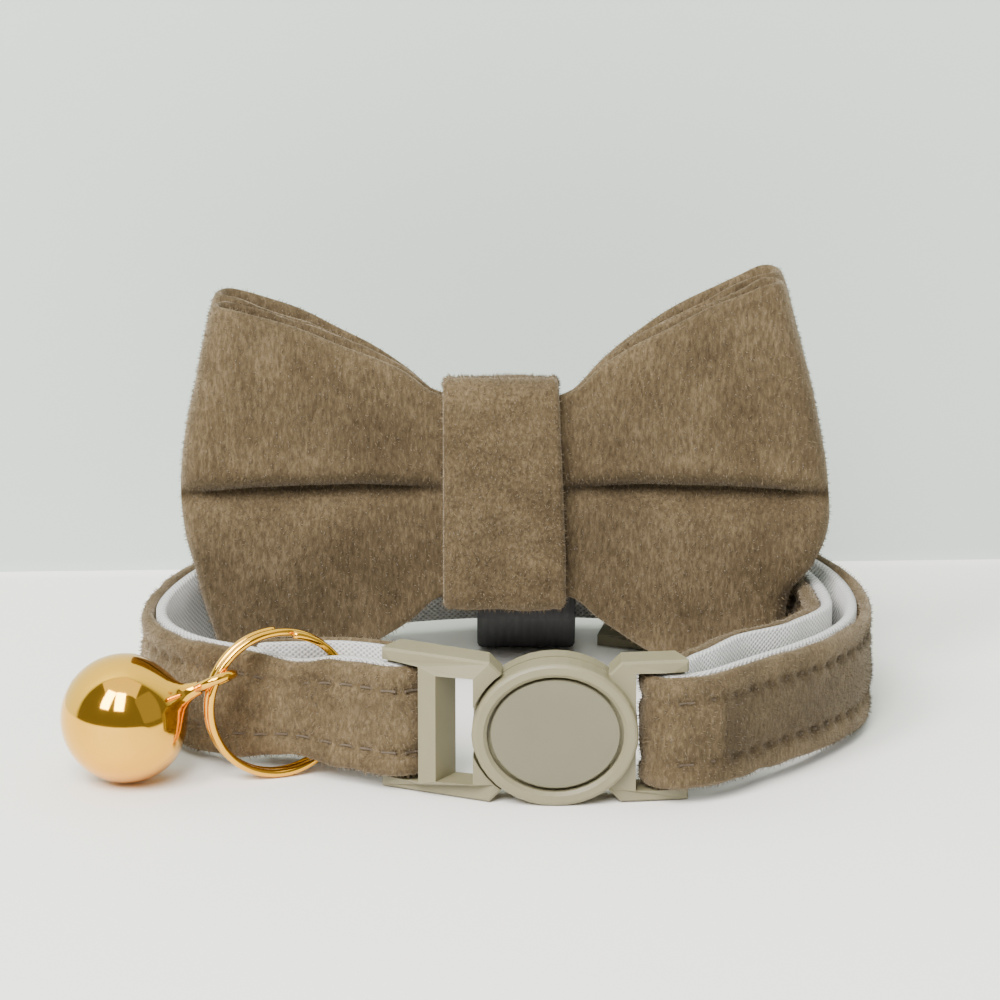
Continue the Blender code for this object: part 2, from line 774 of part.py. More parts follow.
def make_bow_loop(name, front, depth, pleated, lower_reach, waist_top):
    """A closed cloth loop through both wings, with its wall's thickness."""
    outer_rows, inner_rows = [], []
    for row in WING_ROWS:
        line = wall_outline(front, depth, row, pleated, lower_reach)
        flat = [Vector((x, y)) for x, y, _, _ in line]
        outer, inner = [], []
        count = len(line)
        for i, (x, y, rise, left) in enumerate(line):
            ahead = (flat[(i + 1) % count] - flat[i]).normalized()
            behind = (flat[i] - flat[i - 1]).normalized()
            head = (ahead + behind).normalized()
            inward = Vector((-head.y, head.x))
            half = wing_half_height(rise, row[0] > 0, left, waist_top)
            z = BOW_MIDDLE_HEIGHT + row[0] * half
            spot = flat[i] + inward * BOW_CLOTH
            outer.append((BOW_ACROSS + x, y, z))
            inner.append((BOW_ACROSS + spot.x, spot.y, z))
        outer_rows.append(outer)
        inner_rows.append(inner)
    finish(name, skin(outer_rows + inner_rows[::-1], closed_along=True), VELVET)


def rounded_ring(corners, radius, steps=3):
    """A closed outline with its corners rounded, given counterclockwise."""
    line = []
    count = len(corners)
    for i, corner in enumerate(corners):
        before = (Vector(corners[i - 1]) - Vector(corner)).normalized()
        after = (Vector(corners[(i + 1) % count]) - Vector(corner)).normalized()
        half = before.angle(after) / 2
        tangent = radius / math.tan(half)
        middle = Vector(corner) + (before + after).normalized() * radius / math.sin(half)
        first = Vector(corner) + before * tangent - middle
        last = Vector(corner) + after * tangent - middle
        for k in range(steps + 1):
            way = first.normalized().slerp(last.normalized(), k / steps)
            line.append(middle + way * radius)
    return line


def hoop(name, corners, wall, radius, across, width, look):
    """A closed band: a rounded outline in the Y-Z plane, a wall thickness and a width in X."""
    outer = rounded_ring(corners, radius)
    rings = []
    count = len(outer)
    for i, point in enumerate(outer):
        head = (outer[(i + 1) % count] - point).normalized() + (point - outer[i - 1]).normalized()
        head.normalize()
        inner = point + Vector((-head.y, head.x)) * wall
        low, high = across - width / 2, across + width / 2
        rings.append([(low, *point), (high, *point), (high, *inner), (low, *inner)])
    finish(name, skin(rings, closed_along=True), look)


def make_bow():
    """The two cloth loops, the band that pinches them and the elastic on its back."""
    rear_front = BOW_FRONT + FRONT_LOOP_DEPTH + GAP
    front_top = WAIST_HALF - BAND_BACK_DROP / 2
    rear_top = WAIST_HALF - BAND_BACK_DROP
    make_bow_loop("bow_front_loop", BOW_FRONT, FRONT_LOOP_DEPTH, True, 1.0, front_top)
    make_bow_loop("bow_rear_loop", rear_front, REAR_LOOP_DEPTH, False, REAR_LOOP_LOWER, rear_top)
    waist_front = BOW_FRONT + WAIST_SETBACK
    waist_back = rear_front - GAP + 2 * BOW_CLOTH + GAP
    front = waist_front - GAP - BOW_CLOTH
    back = waist_back + GAP + BOW_CLOTH
    low = BOW_MIDDLE_HEIGHT - BAND_HEIGHT / 2
    high = BOW_MIDDLE_HEIGHT + BAND_HEIGHT / 2
    corners = [(front, low), (back, low), (back, high - BAND_BACK_DROP), (front, high)]
    hoop("bow_center_band", corners, BOW_CLOTH, BAND_ROUND, BOW_ACROSS, BAND_WIDTH, VELVET)
    strap_back = LOOP_DEPTH + WRAP_RADIUS + STRAP_THICK
    strap_low = MIDDLE_HEIGHT - STRAP_WIDTH / 2
    strap_high = MIDDLE_HEIGHT + STRAP_WIDTH / 2
    slack = 2 * GAP
    near = back + GAP
    far = strap_back + slack + ELASTIC_THICK
    floor = strap_low - GAP - ELASTIC_THICK
    corners = [
        (near, ELASTIC_FRONT_LOW),
        (LOOP_DEPTH - ELASTIC_FOOT, floor),
        (far, floor),
        (far, strap_high + slack + ELASTIC_THICK),
        (near, ELASTIC_TOP),
    ]
    across = BOW_ACROSS + ELASTIC_ACROSS
    hoop("elastic_loop", corners, ELASTIC_THICK, ELASTIC_ROUND, across, ELASTIC_WIDTH, ELASTIC)


def settle():
    """Moves the whole collar so that the middle of its base is the origin."""
    corners = []
    pieces = list(bpy.context.scene.collection.objects)
    for piece in pieces:
        corners += [vertex.co for vertex in piece.data.vertices]
    places = np.array(corners)
    low, high = places.min(axis=0), places.max(axis=0)
    base = Vector(((low[0] + high[0]) / 2, (low[1] + high[1]) / 2, low[2]))
    for piece in pieces:
        piece.data.transform(Matrix.Translation(-base))


strip("webbing_strap", 0.0, WEBBING_THICK, WEBBING)
strip("velvet_strap", WEBBING_THICK + SEWN_GAP, STRAP_THICK, VELVET)
make_buckle()
make_slider()
make_ring()
make_bell()
make_bow()
settle()
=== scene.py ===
import math
import random

import bmesh
import bpy
import numpy as np
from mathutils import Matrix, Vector, noise


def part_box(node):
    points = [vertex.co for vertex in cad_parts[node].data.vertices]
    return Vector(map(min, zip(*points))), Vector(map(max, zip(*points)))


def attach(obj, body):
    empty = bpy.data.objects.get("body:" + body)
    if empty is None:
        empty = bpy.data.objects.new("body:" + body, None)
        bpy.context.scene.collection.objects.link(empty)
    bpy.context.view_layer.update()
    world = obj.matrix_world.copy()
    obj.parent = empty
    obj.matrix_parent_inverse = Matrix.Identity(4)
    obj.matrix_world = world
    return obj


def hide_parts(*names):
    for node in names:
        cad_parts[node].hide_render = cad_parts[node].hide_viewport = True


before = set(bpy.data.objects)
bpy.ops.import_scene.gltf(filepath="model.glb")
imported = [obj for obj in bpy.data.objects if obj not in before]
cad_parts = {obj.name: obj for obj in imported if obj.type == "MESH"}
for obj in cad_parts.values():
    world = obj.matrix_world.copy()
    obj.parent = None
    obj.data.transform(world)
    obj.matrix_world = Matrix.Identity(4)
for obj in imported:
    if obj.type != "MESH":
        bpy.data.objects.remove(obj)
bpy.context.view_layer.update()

MM = 0.001
badge_low, badge_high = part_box("badge_plate")
face_middle = Vector((
    (badge_low[0] + badge_high[0]) / 2,
    badge_low[1],
    (badge_low[2] + badge_high[2]) / 2,
))


def plain_look(name, colour, rough):
    """A Principled material with one colour and roughness, and its node tree."""
    look = bpy.data.materials.new(name)
    look.use_nodes = True
    shader = look.node_tree.nodes["Principled BSDF"]
    shader.inputs["Base Color"].default_value = (*colour, 1.0)
    shader.inputs["Roughness"].default_value = rough
    look.diffuse_color = (*colour, 1.0)
    return look


def colour_ramp(tree, stops):
    """A ramp node from rows of (position, colour), lowest first."""
    ramp = tree.nodes.new("ShaderNodeValToRGB")
    ends = ramp.color_ramp.elements
    for end, (position, colour) in zip(ends, (stops[0], stops[-1])):
        end.position, end.color = position, (*colour, 1.0)
    for position, colour in stops[1:-1]:
        ends.new(position).color = (*colour, 1.0)
    return ramp


def noise_node(tree, places, scale, detail):
    """A noise texture read from a socket of places."""
    cloud = tree.nodes.new("ShaderNodeTexNoise")
    cloud.inputs["Scale"].default_value = scale
    cloud.inputs["Detail"].default_value = detail
    tree.links.new(places, cloud.inputs["Vector"])
    return cloud


def bumped(tree, height, strength, distance):
    """Turns a height socket into the small relief of the look's surface."""
    bump = tree.nodes.new("ShaderNodeBump")
    bump.inputs["Strength"].default_value = strength
    bump.inputs["Distance"].default_value = distance
    tree.links.new(height, bump.inputs["Height"])
    tree.links.new(bump.outputs["Normal"], tree.nodes["Principled BSDF"].inputs["Normal"])


def mesh_piece(name, points, faces, look, edges=()):
    """A new piece at the origin from points and faces, or from points and edges."""
    mesh = bpy.data.meshes.new(name)
    mesh.from_pydata([tuple(p) for p in points], edges, faces)
    made = bmesh.new()
    made.from_mesh(mesh)
    bmesh.ops.recalc_face_normals(made, faces=made.faces[:])
    made.to_mesh(mesh)
    made.free()
    mesh.materials.append(look)
    mesh.shade_smooth()
    piece = bpy.data.objects.new(name, mesh)
    bpy.context.scene.collection.objects.link(piece)
    return piece


TABLE_REACH = 1.6
WALL_BEHIND = 74.5 * MM
WALL_TURN = math.radians(2.7)
COVE = 1.5 * MM
sweep_profile = [(-TABLE_REACH, 0.0), (WALL_BEHIND - COVE, 0.0)]
for i in range(1, 7):
    angle = math.pi / 2 * i / 6
    sweep_profile.append((
        WALL_BEHIND - COVE + COVE * math.sin(angle),
        COVE - COVE * math.cos(angle),
    ))
sweep_profile.append((WALL_BEHIND, TABLE_REACH))


def sweep_part(name, rows, look):
    """A strip of the tabletop and wall, swept across the view."""
    points = []
    for back, up in rows:
        for across in (-TABLE_REACH, TABLE_REACH):
            turned = Vector((across, back)) + Vector((0.0, math.tan(WALL_TURN) * across))
            points.append((turned.x, face_middle.y + turned.y, up))
    faces = [(2 * i, 2 * i + 1, 2 * i + 3, 2 * i + 2) for i in range(len(rows) - 1)]
    part = mesh_piece(name, points, faces, look)


table_look = plain_look("tabletop_white", (0.94, 0.925, 0.885), 0.55)
wall_look = plain_look("wall_grey_green", (0.56, 0.635, 0.590), 0.8)
sweep_part("tabletop", sweep_profile[:5], table_look)
sweep_part("wall", sweep_profile[4:], wall_look)

EYE_FROM_FACE = Vector((-4.7, -478.05, 148.7)) * MM
CAMERA_DOWN = math.radians(15.0)
CAMERA_LENS = 212.4
SENSOR_WIDTH = 36.0
camera_data = bpy.data.cameras.new("camera")
camera_data.lens = CAMERA_LENS
camera_data.sensor_width = SENSOR_WIDTH
camera = bpy.data.objects.new("camera", camera_data)
camera.location = face_middle + EYE_FROM_FACE
camera.rotation_euler = (math.pi / 2 - CAMERA_DOWN, 0.0, 0.0)
bpy.context.scene.collection.objects.link(camera)
bpy.context.scene.camera = camera


LIGHT_AIM = Vector((0.0, 0.0, 0.01))
WINDOW_PANE = (0.24, 0.50)
WINDOW_POWER = 9.5
DAYLIGHT = (1.0, 0.98, 0.95)


def window_light(name, place, size, power, colour, aim=LIGHT_AIM):
    """A rectangular area light at a place, turned to its aim."""
    data = bpy.data.lights.new(name, "AREA")
    data.shape = "RECTANGLE"
    data.size, data.size_y = size
    data.energy = power
    data.color = colour
    lamp = bpy.data.objects.new(name, data)
    lamp.location = place
    lamp.rotation_euler = (Vector(aim) - Vector(place)).to_track_quat("-Z", "Y").to_euler()
    bpy.context.scene.collection.objects.link(lamp)


window_light("window_left_pane", (-0.42, -0.50, 0.62), WINDOW_PANE, WINDOW_POWER, DAYLIGHT)
window_light("window_right_pane", (-0.12, -0.62, 0.62), WINDOW_PANE, WINDOW_POWER, DAYLIGHT)
window_light("fill_from_right", (0.8, -0.45, 0.5), (0.8, 0.8), 0.5, (0.94, 0.97, 1.0))
window_light(
    "ceiling_bounce", (0.0, 0.0, 1.1), (1.4, 1.4), 9.0, (1.0, 0.99, 0.97), aim=(0.0, 0.0, 0.0),
)
room = bpy.data.worlds.new("room")
room.use_nodes = True
room.node_tree.nodes["Background"].inputs["Color"].default_value = (0.80, 0.83, 0.82, 1.0)
room.node_tree.nodes["Background"].inputs["Strength"].default_value = 0.34
bpy.context.scene.world = room

# The strap: one run of taupe velvet hemmed over pale webbing. It is folded round a bar of
# each half of the buckle and sewn back, runs round the neck, and on the right goes back
# inside itself to the slider. Places on it are s, along from the buckle, and n, inward.
FLAT_HALF = 6.9 * MM
LOOP_WIDTH = 58.4 * MM
LOOP_DEPTH = 49.2 * MM
LOOP_STATIONS = (
    # (across as a share of LOOP_WIDTH, back as a share of LOOP_DEPTH), counterclockwise
    (0.190, 0.016), (0.253, 0.083), (0.325, 0.179), (0.380, 0.278), (0.421, 0.400),
    (0.431, 0.530), (0.400, 0.715), (0.302, 0.880), (0.128, 0.980), (-0.086, 1.000),
    (-0.290, 0.935), (-0.472, 0.775), (-0.556, 0.580), (-0.569, 0.430), (-0.490, 0.256),
    (-0.351, 0.158), (-0.214, 0.066),
)
LOOP_FROM_FACE = 2.25 * MM
STRAP_WIDTH = 9.8 * MM
WEBBING_THICK = 0.95 * MM
VELVET_FROM = 1.15 * MM
VELVET_TO = 2.25 * MM
WRAP_RADIUS = 0.9 * MM
BAR_LEFT = 14.75 * MM
BAR_RIGHT = 10.25 * MM
LEFT_TAIL = 13.5 * MM
SIDE_SAG = 0.9 * MM
SLIDER_AT = 0.405
SLIDER_BAR = 2.5 * MM
SLIDER_TAIL = 4.0 * MM
ROUTE_STEP = 0.55 * MM
SEWN_GAP = 0.3 * MM
INNER_GAP = 1.2 * MM
TAIL_LIFT = 1.6 * MM
INNER_LIFT = 2.6 * MM
TAIL_LEVEL_BY = 0.7
INNER_SETTLES = (0.22, 0.28)
SLIDER_APPROACH = 0.78
SAG_FROM = 0.10
SAG_OVER = 0.29
RING_PINCH = 0.75 * MM
PINCH_LENGTH = 3.0 * MM
STITCH_SINK = 0.36 * MM
RING_ALONG = 24.0 * MM
HEM_STITCH = 0.56
STITCH_PITCH = 2.1 * MM


def clamped_spline(points, per_span):
    """A smooth line through points that starts and ends along +X."""
    points = np.array(points)
    spans = np.linalg.norm(np.diff(points, axis=0), axis=1)
    slopes = np.diff(points, axis=0) / spans[:, None]
    count = len(points)
    system = np.zeros((count, count))
    right = np.zeros((count, 2))
    system[0, 0] = system[-1, -1] = 1.0
    right[0] = right[-1] = (1.0, 0.0)
    for i in range(1, count - 1):
        system[i, i - 1:i + 2] = spans[i], 2.0 * (spans[i - 1] + spans[i]), spans[i - 1]
        right[i] = 3.0 * (spans[i] * slopes[i - 1] + spans[i - 1] * slopes[i])
    pull = np.linalg.solve(system, right)
    line = []
    for i in range(count - 1):
        for t in np.linspace(0.0, 1.0, per_span, endpoint=False):
            line.append(
                points[i] * (2 * t**3 - 3 * t**2 + 1)
                + pull[i] * spans[i] * (t**3 - 2 * t**2 + t)
                + points[i + 1] * (-2 * t**3 + 3 * t**2)
                + pull[i + 1] * spans[i] * (t**3 - t**2)
            )
    line.append(points[-1])
    return np.array(line)


stations = [(FLAT_HALF, 0.0)]
stations += [(x * LOOP_WIDTH, y * LOOP_DEPTH) for x, y in LOOP_STATIONS]
stations.append((-FLAT_HALF, 0.0))
loop_line = np.vstack([[(0.0, 0.0)], clamped_spline(stations, 24), [(0.0, 0.0)]])
loop_steps = np.diff(loop_line, axis=0)
loop_reached = np.concatenate([[0.0], np.cumsum(np.linalg.norm(loop_steps, axis=1))])
LOOP_LENGTH = loop_reached[-1]
loop_headings = np.unwrap(np.arctan2(loop_steps[:, 1], loop_steps[:, 0]))
heading_places = (loop_reached[1:] + loop_reached[:-1]) / 2
loop_origin = face_middle + Vector((0.0, LOOP_FROM_FACE, 0.0))


def on_loop(s, n):
    """The place at distance s round the loop and n inward, in the collar's frame."""
    s = s % LOOP_LENGTH
    x = np.interp(s, loop_reached, loop_line[:, 0])
    y = np.interp(s, loop_reached, loop_line[:, 1])
    heading = np.interp(s, heading_places, loop_headings)
    return (
        loop_origin.x + x - n * math.sin(heading),
        loop_origin.y + y + n * math.cos(heading),
    )


def strap_height(s):
    """The strap's middle height: level at the buckle and the back, lower at the sides."""
    share = (s % LOOP_LENGTH) / LOOP_LENGTH
    share = min(share, 1.0 - share)
    phase = min(max((share - SAG_FROM) / SAG_OVER, 0.0), 1.0)
    return loop_origin.z - SIDE_SAG * math.sin(math.pi * phase) ** 2


def eased(table, share):
    """A value read from rows of (share, value), with eased steps between them."""
    for (a, low), (b, high) in zip(table, table[1:]):
        if share <= b:
            t = (share - a) / (b - a)
            return low + (high - low) * (3 * t**2 - 2 * t**3)
    return table[-1][1]


def round_bar(s_bar, n_bar):
    """Places round a bar, from its inner side to its outer side or back."""
    return [
        (s_bar + WRAP_RADIUS * math.cos(a), n_bar + WRAP_RADIUS * math.sin(a))
        for a in np.linspace(math.pi / 2, -math.pi / 2, 9)[1:-1]
    ]


TAIL_RISE = ((0.0, 0.0), (0.25, 0.45), (0.5, 1.0), (0.75, 0.9), (1.0, 0.0))
INNER_RISE = ((0.0, 0.0), (0.10, 0.55), (0.22, 1.0), (0.36, 0.55), (0.50, 0.0), (1.0, 0.0))
strap_run = []
sewn = SEWN_GAP - WRAP_RADIUS
for share in np.linspace(0.0, 1.0, 26)[:-1]:
    level = sewn + (WRAP_RADIUS - sewn) * min(share / TAIL_LEVEL_BY, 1.0)
    level += TAIL_LIFT * eased(TAIL_RISE, share)
    strap_run.append((-BAR_LEFT - LEFT_TAIL * (1 - share), level))
strap_run.append((-BAR_LEFT, WRAP_RADIUS))
strap_run += round_bar(-BAR_LEFT, 0.0)
right_bar = BAR_RIGHT - LOOP_LENGTH
outer_count = round((-BAR_LEFT - right_bar) / ROUTE_STEP)
for s in np.linspace(-BAR_LEFT, right_bar, outer_count + 1):
    strap_run.append((s, -WRAP_RADIUS))
strap_run += [(2 * right_bar - s, n) for s, n in reversed(round_bar(right_bar, 0.0))]
slider_place = (SLIDER_AT - 1.0) * LOOP_LENGTH
inner_count = round((slider_place - right_bar) / ROUTE_STEP)
inner_level = INNER_GAP - WRAP_RADIUS
for share in np.linspace(0.0, 1.0, inner_count + 1):
    settled = min(max((share - INNER_SETTLES[0]) / INNER_SETTLES[1], 0.0), 1.0)
    level = WRAP_RADIUS + (inner_level - WRAP_RADIUS) * settled
    if share > SLIDER_APPROACH:
        t = (share - SLIDER_APPROACH) / (1.0 - SLIDER_APPROACH)
        level = inner_level + (SLIDER_BAR + WRAP_RADIUS - inner_level) * (3 * t**2 - 2 * t**3)
    level += INNER_LIFT * eased(INNER_RISE, share)
    strap_run.append((right_bar + (slider_place - right_bar) * share, level))
strap_run += round_bar(slider_place, SLIDER_BAR)
for share in np.linspace(0.0, 1.0, 8):
    strap_run.append((slider_place - SLIDER_TAIL * share, SLIDER_BAR - WRAP_RADIUS))

run_flat = np.array([on_loop(s, n) for s, n in strap_run])
run_steps = np.diff(run_flat, axis=0)
run_lengths = np.linalg.norm(run_steps, axis=1)
run_steps /= run_lengths[:, None]
run_heads = np.vstack([run_steps[:1], run_steps[1:] + run_steps[:-1], run_steps[-1:]])
run_heads /= np.linalg.norm(run_heads, axis=1)[:, None]
run_travel = np.concatenate([[0.0], np.cumsum(run_lengths)])


def half_width(s, n):
    """Half the strap's width, pinched where the split ring goes round its outer layer."""
    from_ring = (s % LOOP_LENGTH) - (LOOP_LENGTH - RING_ALONG)
    pinch = RING_PINCH if n <= sewn else 0.0
    return STRAP_WIDTH / 2 - pinch * math.exp(-((from_ring / PINCH_LENGTH) ** 2))


def strap_layer(name, outline, look, wander=0.0, stitch=0.0):
    """A layer swept along the strap: outline rows are (width share, distance from the run).

    Its UV is the travel along the strap and the way round the outline, in metres.
    """
    rng_places = random.Random(7)
    shift = Vector((rng_places.random(), rng_places.random(), rng_places.random())) * 50
    points, around = [], [0.0]
    for (w0, d0), (w1, d1) in zip(outline, outline[1:] + outline[:1]):
        around.append(around[-1] + math.hypot((w1 - w0) * STRAP_WIDTH / 2, d1 - d0))
    for (s, n), flat, head, travel in zip(strap_run, run_flat, run_heads, run_travel):
        left = Vector((-head[1], head[0]))
        middle, half = strap_height(s), half_width(s, n)
        for width, reach in outline:
            at = Vector((travel * 260, width * 2.2, reach * 900)) + shift
            puff = noise.noise(at) * wander if reach > WEBBING_THICK else 0.0
            edge = noise.noise(at * 1.7 + Vector((9, 0, 0))) * wander * abs(width) ** 3
            if stitch and reach > (VELVET_FROM + VELVET_TO) / 2:
                off = (abs(width) - HEM_STITCH) / 0.10
                beat = 0.62 + 0.38 * math.cos(2 * math.pi * travel / STITCH_PITCH)
                puff -= stitch * math.exp(-(off**2)) * beat
            spot = Vector(flat) + left * (reach + puff)
            points.append((spot.x, spot.y, middle + width * (half + edge)))
    wide, long = len(outline), len(strap_run)
    faces = []
    for i in range(long - 1):
        for j in range(wide):
            k = (j + 1) % wide
            faces.append((i * wide + j, i * wide + k, (i + 1) * wide + k, (i + 1) * wide + j))
    faces.append(tuple(range(wide - 1, -1, -1)))
    faces.append(tuple((long - 1) * wide + j for j in range(wide)))
    piece = mesh_piece(name, points, faces, look)
    uv = piece.data.uv_layers.new(name="lay")
    for face in piece.data.polygons:
        columns = [piece.data.loops[k].vertex_index % wide for k in face.loop_indices]
        over = 0 in columns and wide - 1 in columns
        for k, column in zip(face.loop_indices, columns):
            row = piece.data.loops[k].vertex_index // wide
            place = around[-1] if over and column == 0 else around[column]
            uv.data[k].uv = (run_travel[row], place)
    return piece


# The velvet: a short dense pile, taupe with paler tips, that lies in fine ribs and shows a
# pale sheen where it turns away. Its base cloth and its standing pile share these colours.
VELVET_DARK = (0.046, 0.031, 0.016)
VELVET_MID = (0.094, 0.067, 0.036)
VELVET_PALE = (0.178, 0.131, 0.075)
PILE_LENGTH = 0.32 * MM
PILE_WIDTH = 0.035 * MM


def tone_and_shading_scaled(tree, ramp, shader):
    """Colour from a ramp, scaled by a stored factor: random tone, and painted light and shade.
    """
    tone_and_painted_shading = tree.nodes.new("ShaderNodeAttribute")
    tone_and_painted_shading.attribute_name = "tone_and_painted_shading"
    mix = tree.nodes.new("ShaderNodeVectorMath")
    mix.operation = "SCALE"
    tree.links.new(ramp.outputs["Color"], mix.inputs["Vector"])
    tree.links.new(tone_and_painted_shading.outputs["Fac"], mix.inputs["Scale"])
    tree.links.new(mix.outputs["Vector"], shader.inputs["Base Color"])


def lay_tone_and_shading(piece, shade_at):
    """Stores a factor at each point of a velvet piece that darkens or pales its colour: random
    tone, and painted light and shade.
    """
    tone_and_painted_shading = piece.data.attributes.new("tone_and_painted_shading", "FLOAT", "POINT")
    shades = [shade_at(vertex.co) for vertex in piece.data.vertices]
    tone_and_painted_shading.data.foreach_set("value", shades)


def velvet_look(name, rib):
    """Velvet cloth: rib is the noise scale across, along and through the cloth."""
    look = plain_look(name, VELVET_MID, 0.92)
    tree = look.node_tree
    shader = tree.nodes["Principled BSDF"]
    shader.inputs["Sheen Weight"].default_value = 0.35
    shader.inputs["Sheen Roughness"].default_value = 0.4
    shader.inputs["Sheen Tint"].default_value = (0.95, 0.80, 0.60, 1.0)
    shader.inputs["Specular IOR Level"].default_value = 0.12
    places = tree.nodes.new("ShaderNodeTexCoord")
    stretch = tree.nodes.new("ShaderNodeMapping")
    stretch.inputs["Scale"].default_value = rib
    tree.links.new(places.outputs["Object"], stretch.inputs["Vector"])
    fibres = noise_node(tree, stretch.outputs["Vector"], 1.0, 5.0)
    fibres.inputs["Roughness"].default_value = 0.72
    patches = noise_node(tree, places.outputs["Object"], 210.0, 3.0)
    blend = tree.nodes.new("ShaderNodeMath")
    blend.operation = "MULTIPLY_ADD"
    blend.inputs[1].default_value = 0.38
    tree.links.new(patches.outputs["Fac"], blend.inputs[0])
    tree.links.new(fibres.outputs["Fac"], blend.inputs[2])
    ramp = colour_ramp(tree, ((0.46, VELVET_DARK), (0.70, VELVET_MID), (0.95, VELVET_PALE)))
    tree.links.new(blend.outputs["Value"], ramp.inputs["Fac"])
    tone_and_shading_scaled(tree, ramp, shader)
    bumped(tree, fibres.outputs["Fac"], 0.55, 0.16 * MM)
    return look


def pile_look(name):
    """The tips of the pile: each fibre's shade comes from its own attribute."""
    look = plain_look(name, VELVET_MID, 0.8)
    tree = look.node_tree
    shader = tree.nodes["Principled BSDF"]
    shader.inputs["Sheen Weight"].default_value = 0.3
    shader.inputs["Specular IOR Level"].default_value = 0.1
    shade = tree.nodes.new("ShaderNodeAttribute")
    shade.attribute_name = "fibre_shade"
    ramp = colour_ramp(tree, ((0.0, VELVET_DARK), (0.45, VELVET_MID), (1.0, VELVET_PALE)))
    tree.links.new(shade.outputs["Fac"], ramp.inputs["Fac"])
    tone_and_shading_scaled(tree, ramp, shader)
    return look


def pile_tree():
    """Geometry nodes that stand short tapered fibres on a cloth's surface."""
    tree = bpy.data.node_groups.new("velvet_pile", "GeometryNodeTree")
    face = tree.interface
    face.new_socket("Geometry", in_out="INPUT", socket_type="NodeSocketGeometry")
    for title, kind, value in (
        ("Fibres per square metre", "NodeSocketFloat", 1.2e7),
        ("Fibre length", "NodeSocketFloat", PILE_LENGTH),
        ("Fibre width", "NodeSocketFloat", PILE_WIDTH),
        ("Seed", "NodeSocketInt", 1),
        ("Look", "NodeSocketMaterial", None),
    ):
        socket = face.new_socket(title, in_out="INPUT", socket_type=kind)
        if value is not None:
            socket.default_value = value
    face.new_socket("Geometry", in_out="OUTPUT", socket_type="NodeSocketGeometry")
    add, link = tree.nodes.new, tree.links.new
    given, result = add("NodeGroupInput"), add("NodeGroupOutput")
    spread = add("GeometryNodeDistributePointsOnFaces")
    link(given.outputs["Geometry"], spread.inputs["Mesh"])
    link(given.outputs["Fibres per square metre"], spread.inputs["Density"])
    link(given.outputs["Seed"], spread.inputs["Seed"])
    fibre = add("GeometryNodeMeshCone")
    fibre.inputs["Vertices"].default_value = 3
    link(given.outputs["Fibre width"], fibre.inputs["Radius Bottom"])
    link(given.outputs["Fibre length"], fibre.inputs["Depth"])
    lean = add("FunctionNodeRandomValue")
    lean.data_type = "FLOAT_VECTOR"
    lean.inputs["Min"].default_value = (-0.55, -0.55, -0.75)
    lean.inputs["Max"].default_value = (0.55, 0.55, 0.35)
    link(given.outputs["Seed"], lean.inputs["Seed"])
    stand = add("ShaderNodeVectorMath")
    link(spread.outputs["Normal"], stand.inputs[0])
    link(lean.outputs["Value"], stand.inputs[1])
    turn = add("FunctionNodeAlignRotationToVector")
    turn.axis = "Z"
    link(stand.outputs["Vector"], turn.inputs["Vector"])
    tall = add("FunctionNodeRandomValue")
    tall.data_type = "FLOAT"
    tall.inputs["Min"].default_value = 0.5
    tall.inputs["Max"].default_value = 1.25
    plant = add("GeometryNodeInstanceOnPoints")
    link(spread.outputs["Points"], plant.inputs["Points"])
    link(fibre.outputs["Mesh"], plant.inputs["Instance"])
    link(turn.outputs["Rotation"], plant.inputs["Rotation"])
    link(tall.outputs["Value"], plant.inputs["Scale"])
    shade = add("FunctionNodeRandomValue")
    shade.data_type = "FLOAT"
    keep = add("GeometryNodeStoreNamedAttribute")
    keep.data_type, keep.domain = "FLOAT", "INSTANCE"
    keep.inputs["Name"].default_value = "fibre_shade"
    link(plant.outputs["Instances"], keep.inputs["Geometry"])
    link(shade.outputs["Value"], keep.inputs["Value"])
    real = add("GeometryNodeRealizeInstances")
    link(keep.outputs["Geometry"], real.inputs["Geometry"])
    paint = add("GeometryNodeSetMaterial")
    link(real.outputs["Geometry"], paint.inputs["Geometry"])
    link(given.outputs["Look"], paint.inputs["Material"])
    link(paint.outputs["Geometry"], result.inputs["Geometry"])
    return tree


velvet_pile = pile_tree()
pile_tips = pile_look("velvet_pile_tips")


def applied(piece, tree, name, **settings):
    """A plain mesh piece made by a node tree from another piece, with its inputs by name."""
    change = piece.modifiers.new("nodes", "NODES")
    change.node_group = tree
    for item in tree.interface.items_tree:
        title = item.name.lower().replace(" ", "_")
        if item.item_type == "SOCKET" and item.in_out == "INPUT" and title in settings:
            change[item.identifier] = settings[title]
    graph = bpy.context.evaluated_depsgraph_get()
    mesh = bpy.data.meshes.new_from_object(piece.evaluated_get(graph))
    piece.modifiers.remove(change)
    mesh.name = name
    made = bpy.data.objects.new(name, mesh)
    bpy.context.scene.collection.objects.link(made)
    return made


def grow_pile(piece, name, fibres, seed):
    """The standing pile of a velvet piece: about so many fibres, over its whole surface."""
    area = sum(face.area for face in piece.data.polygons)
    pile = applied(
        piece, velvet_pile, name,
        fibres_per_square_metre=fibres / area, seed=seed, look=pile_tips,
    )
    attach(pile, "root")
    return pile


# The two layers as sewn: the velvet's hemmed edges roll over, and a row of stitches draws it
# down near each edge. The webbing behind it is plain woven pale polyester.
HEM_ROLL = ((0.985, 1.32 * MM), (1.0, 1.66 * MM), (0.965, 2.02 * MM))
velvet_cloth = velvet_look("velvet_strap_cloth", (3200.0, 3200.0, 1500.0))
velvet_outline = [(-0.90, VELVET_FROM)] + [(-share, reach) for share, reach in HEM_ROLL]
velvet_outline += [(w, VELVET_TO) for w in np.linspace(-0.90, 0.90, 25)]
velvet_outline += [*reversed(HEM_ROLL), (0.90, VELVET_FROM)]
velvet_outline += [(w, VELVET_FROM) for w in (0.45, 0.0, -0.45)]
velvet = strap_layer(
    "strap_velvet", velvet_outline, velvet_cloth, wander=0.22 * MM, stitch=0.55 * MM,
)
# Between these shares of the way round, the right strap is painted darker: painted shade, where
# the nap also turns.
TURNED_SHADE_FROM = 0.080
TURNED_SHADE_TO = 0.36


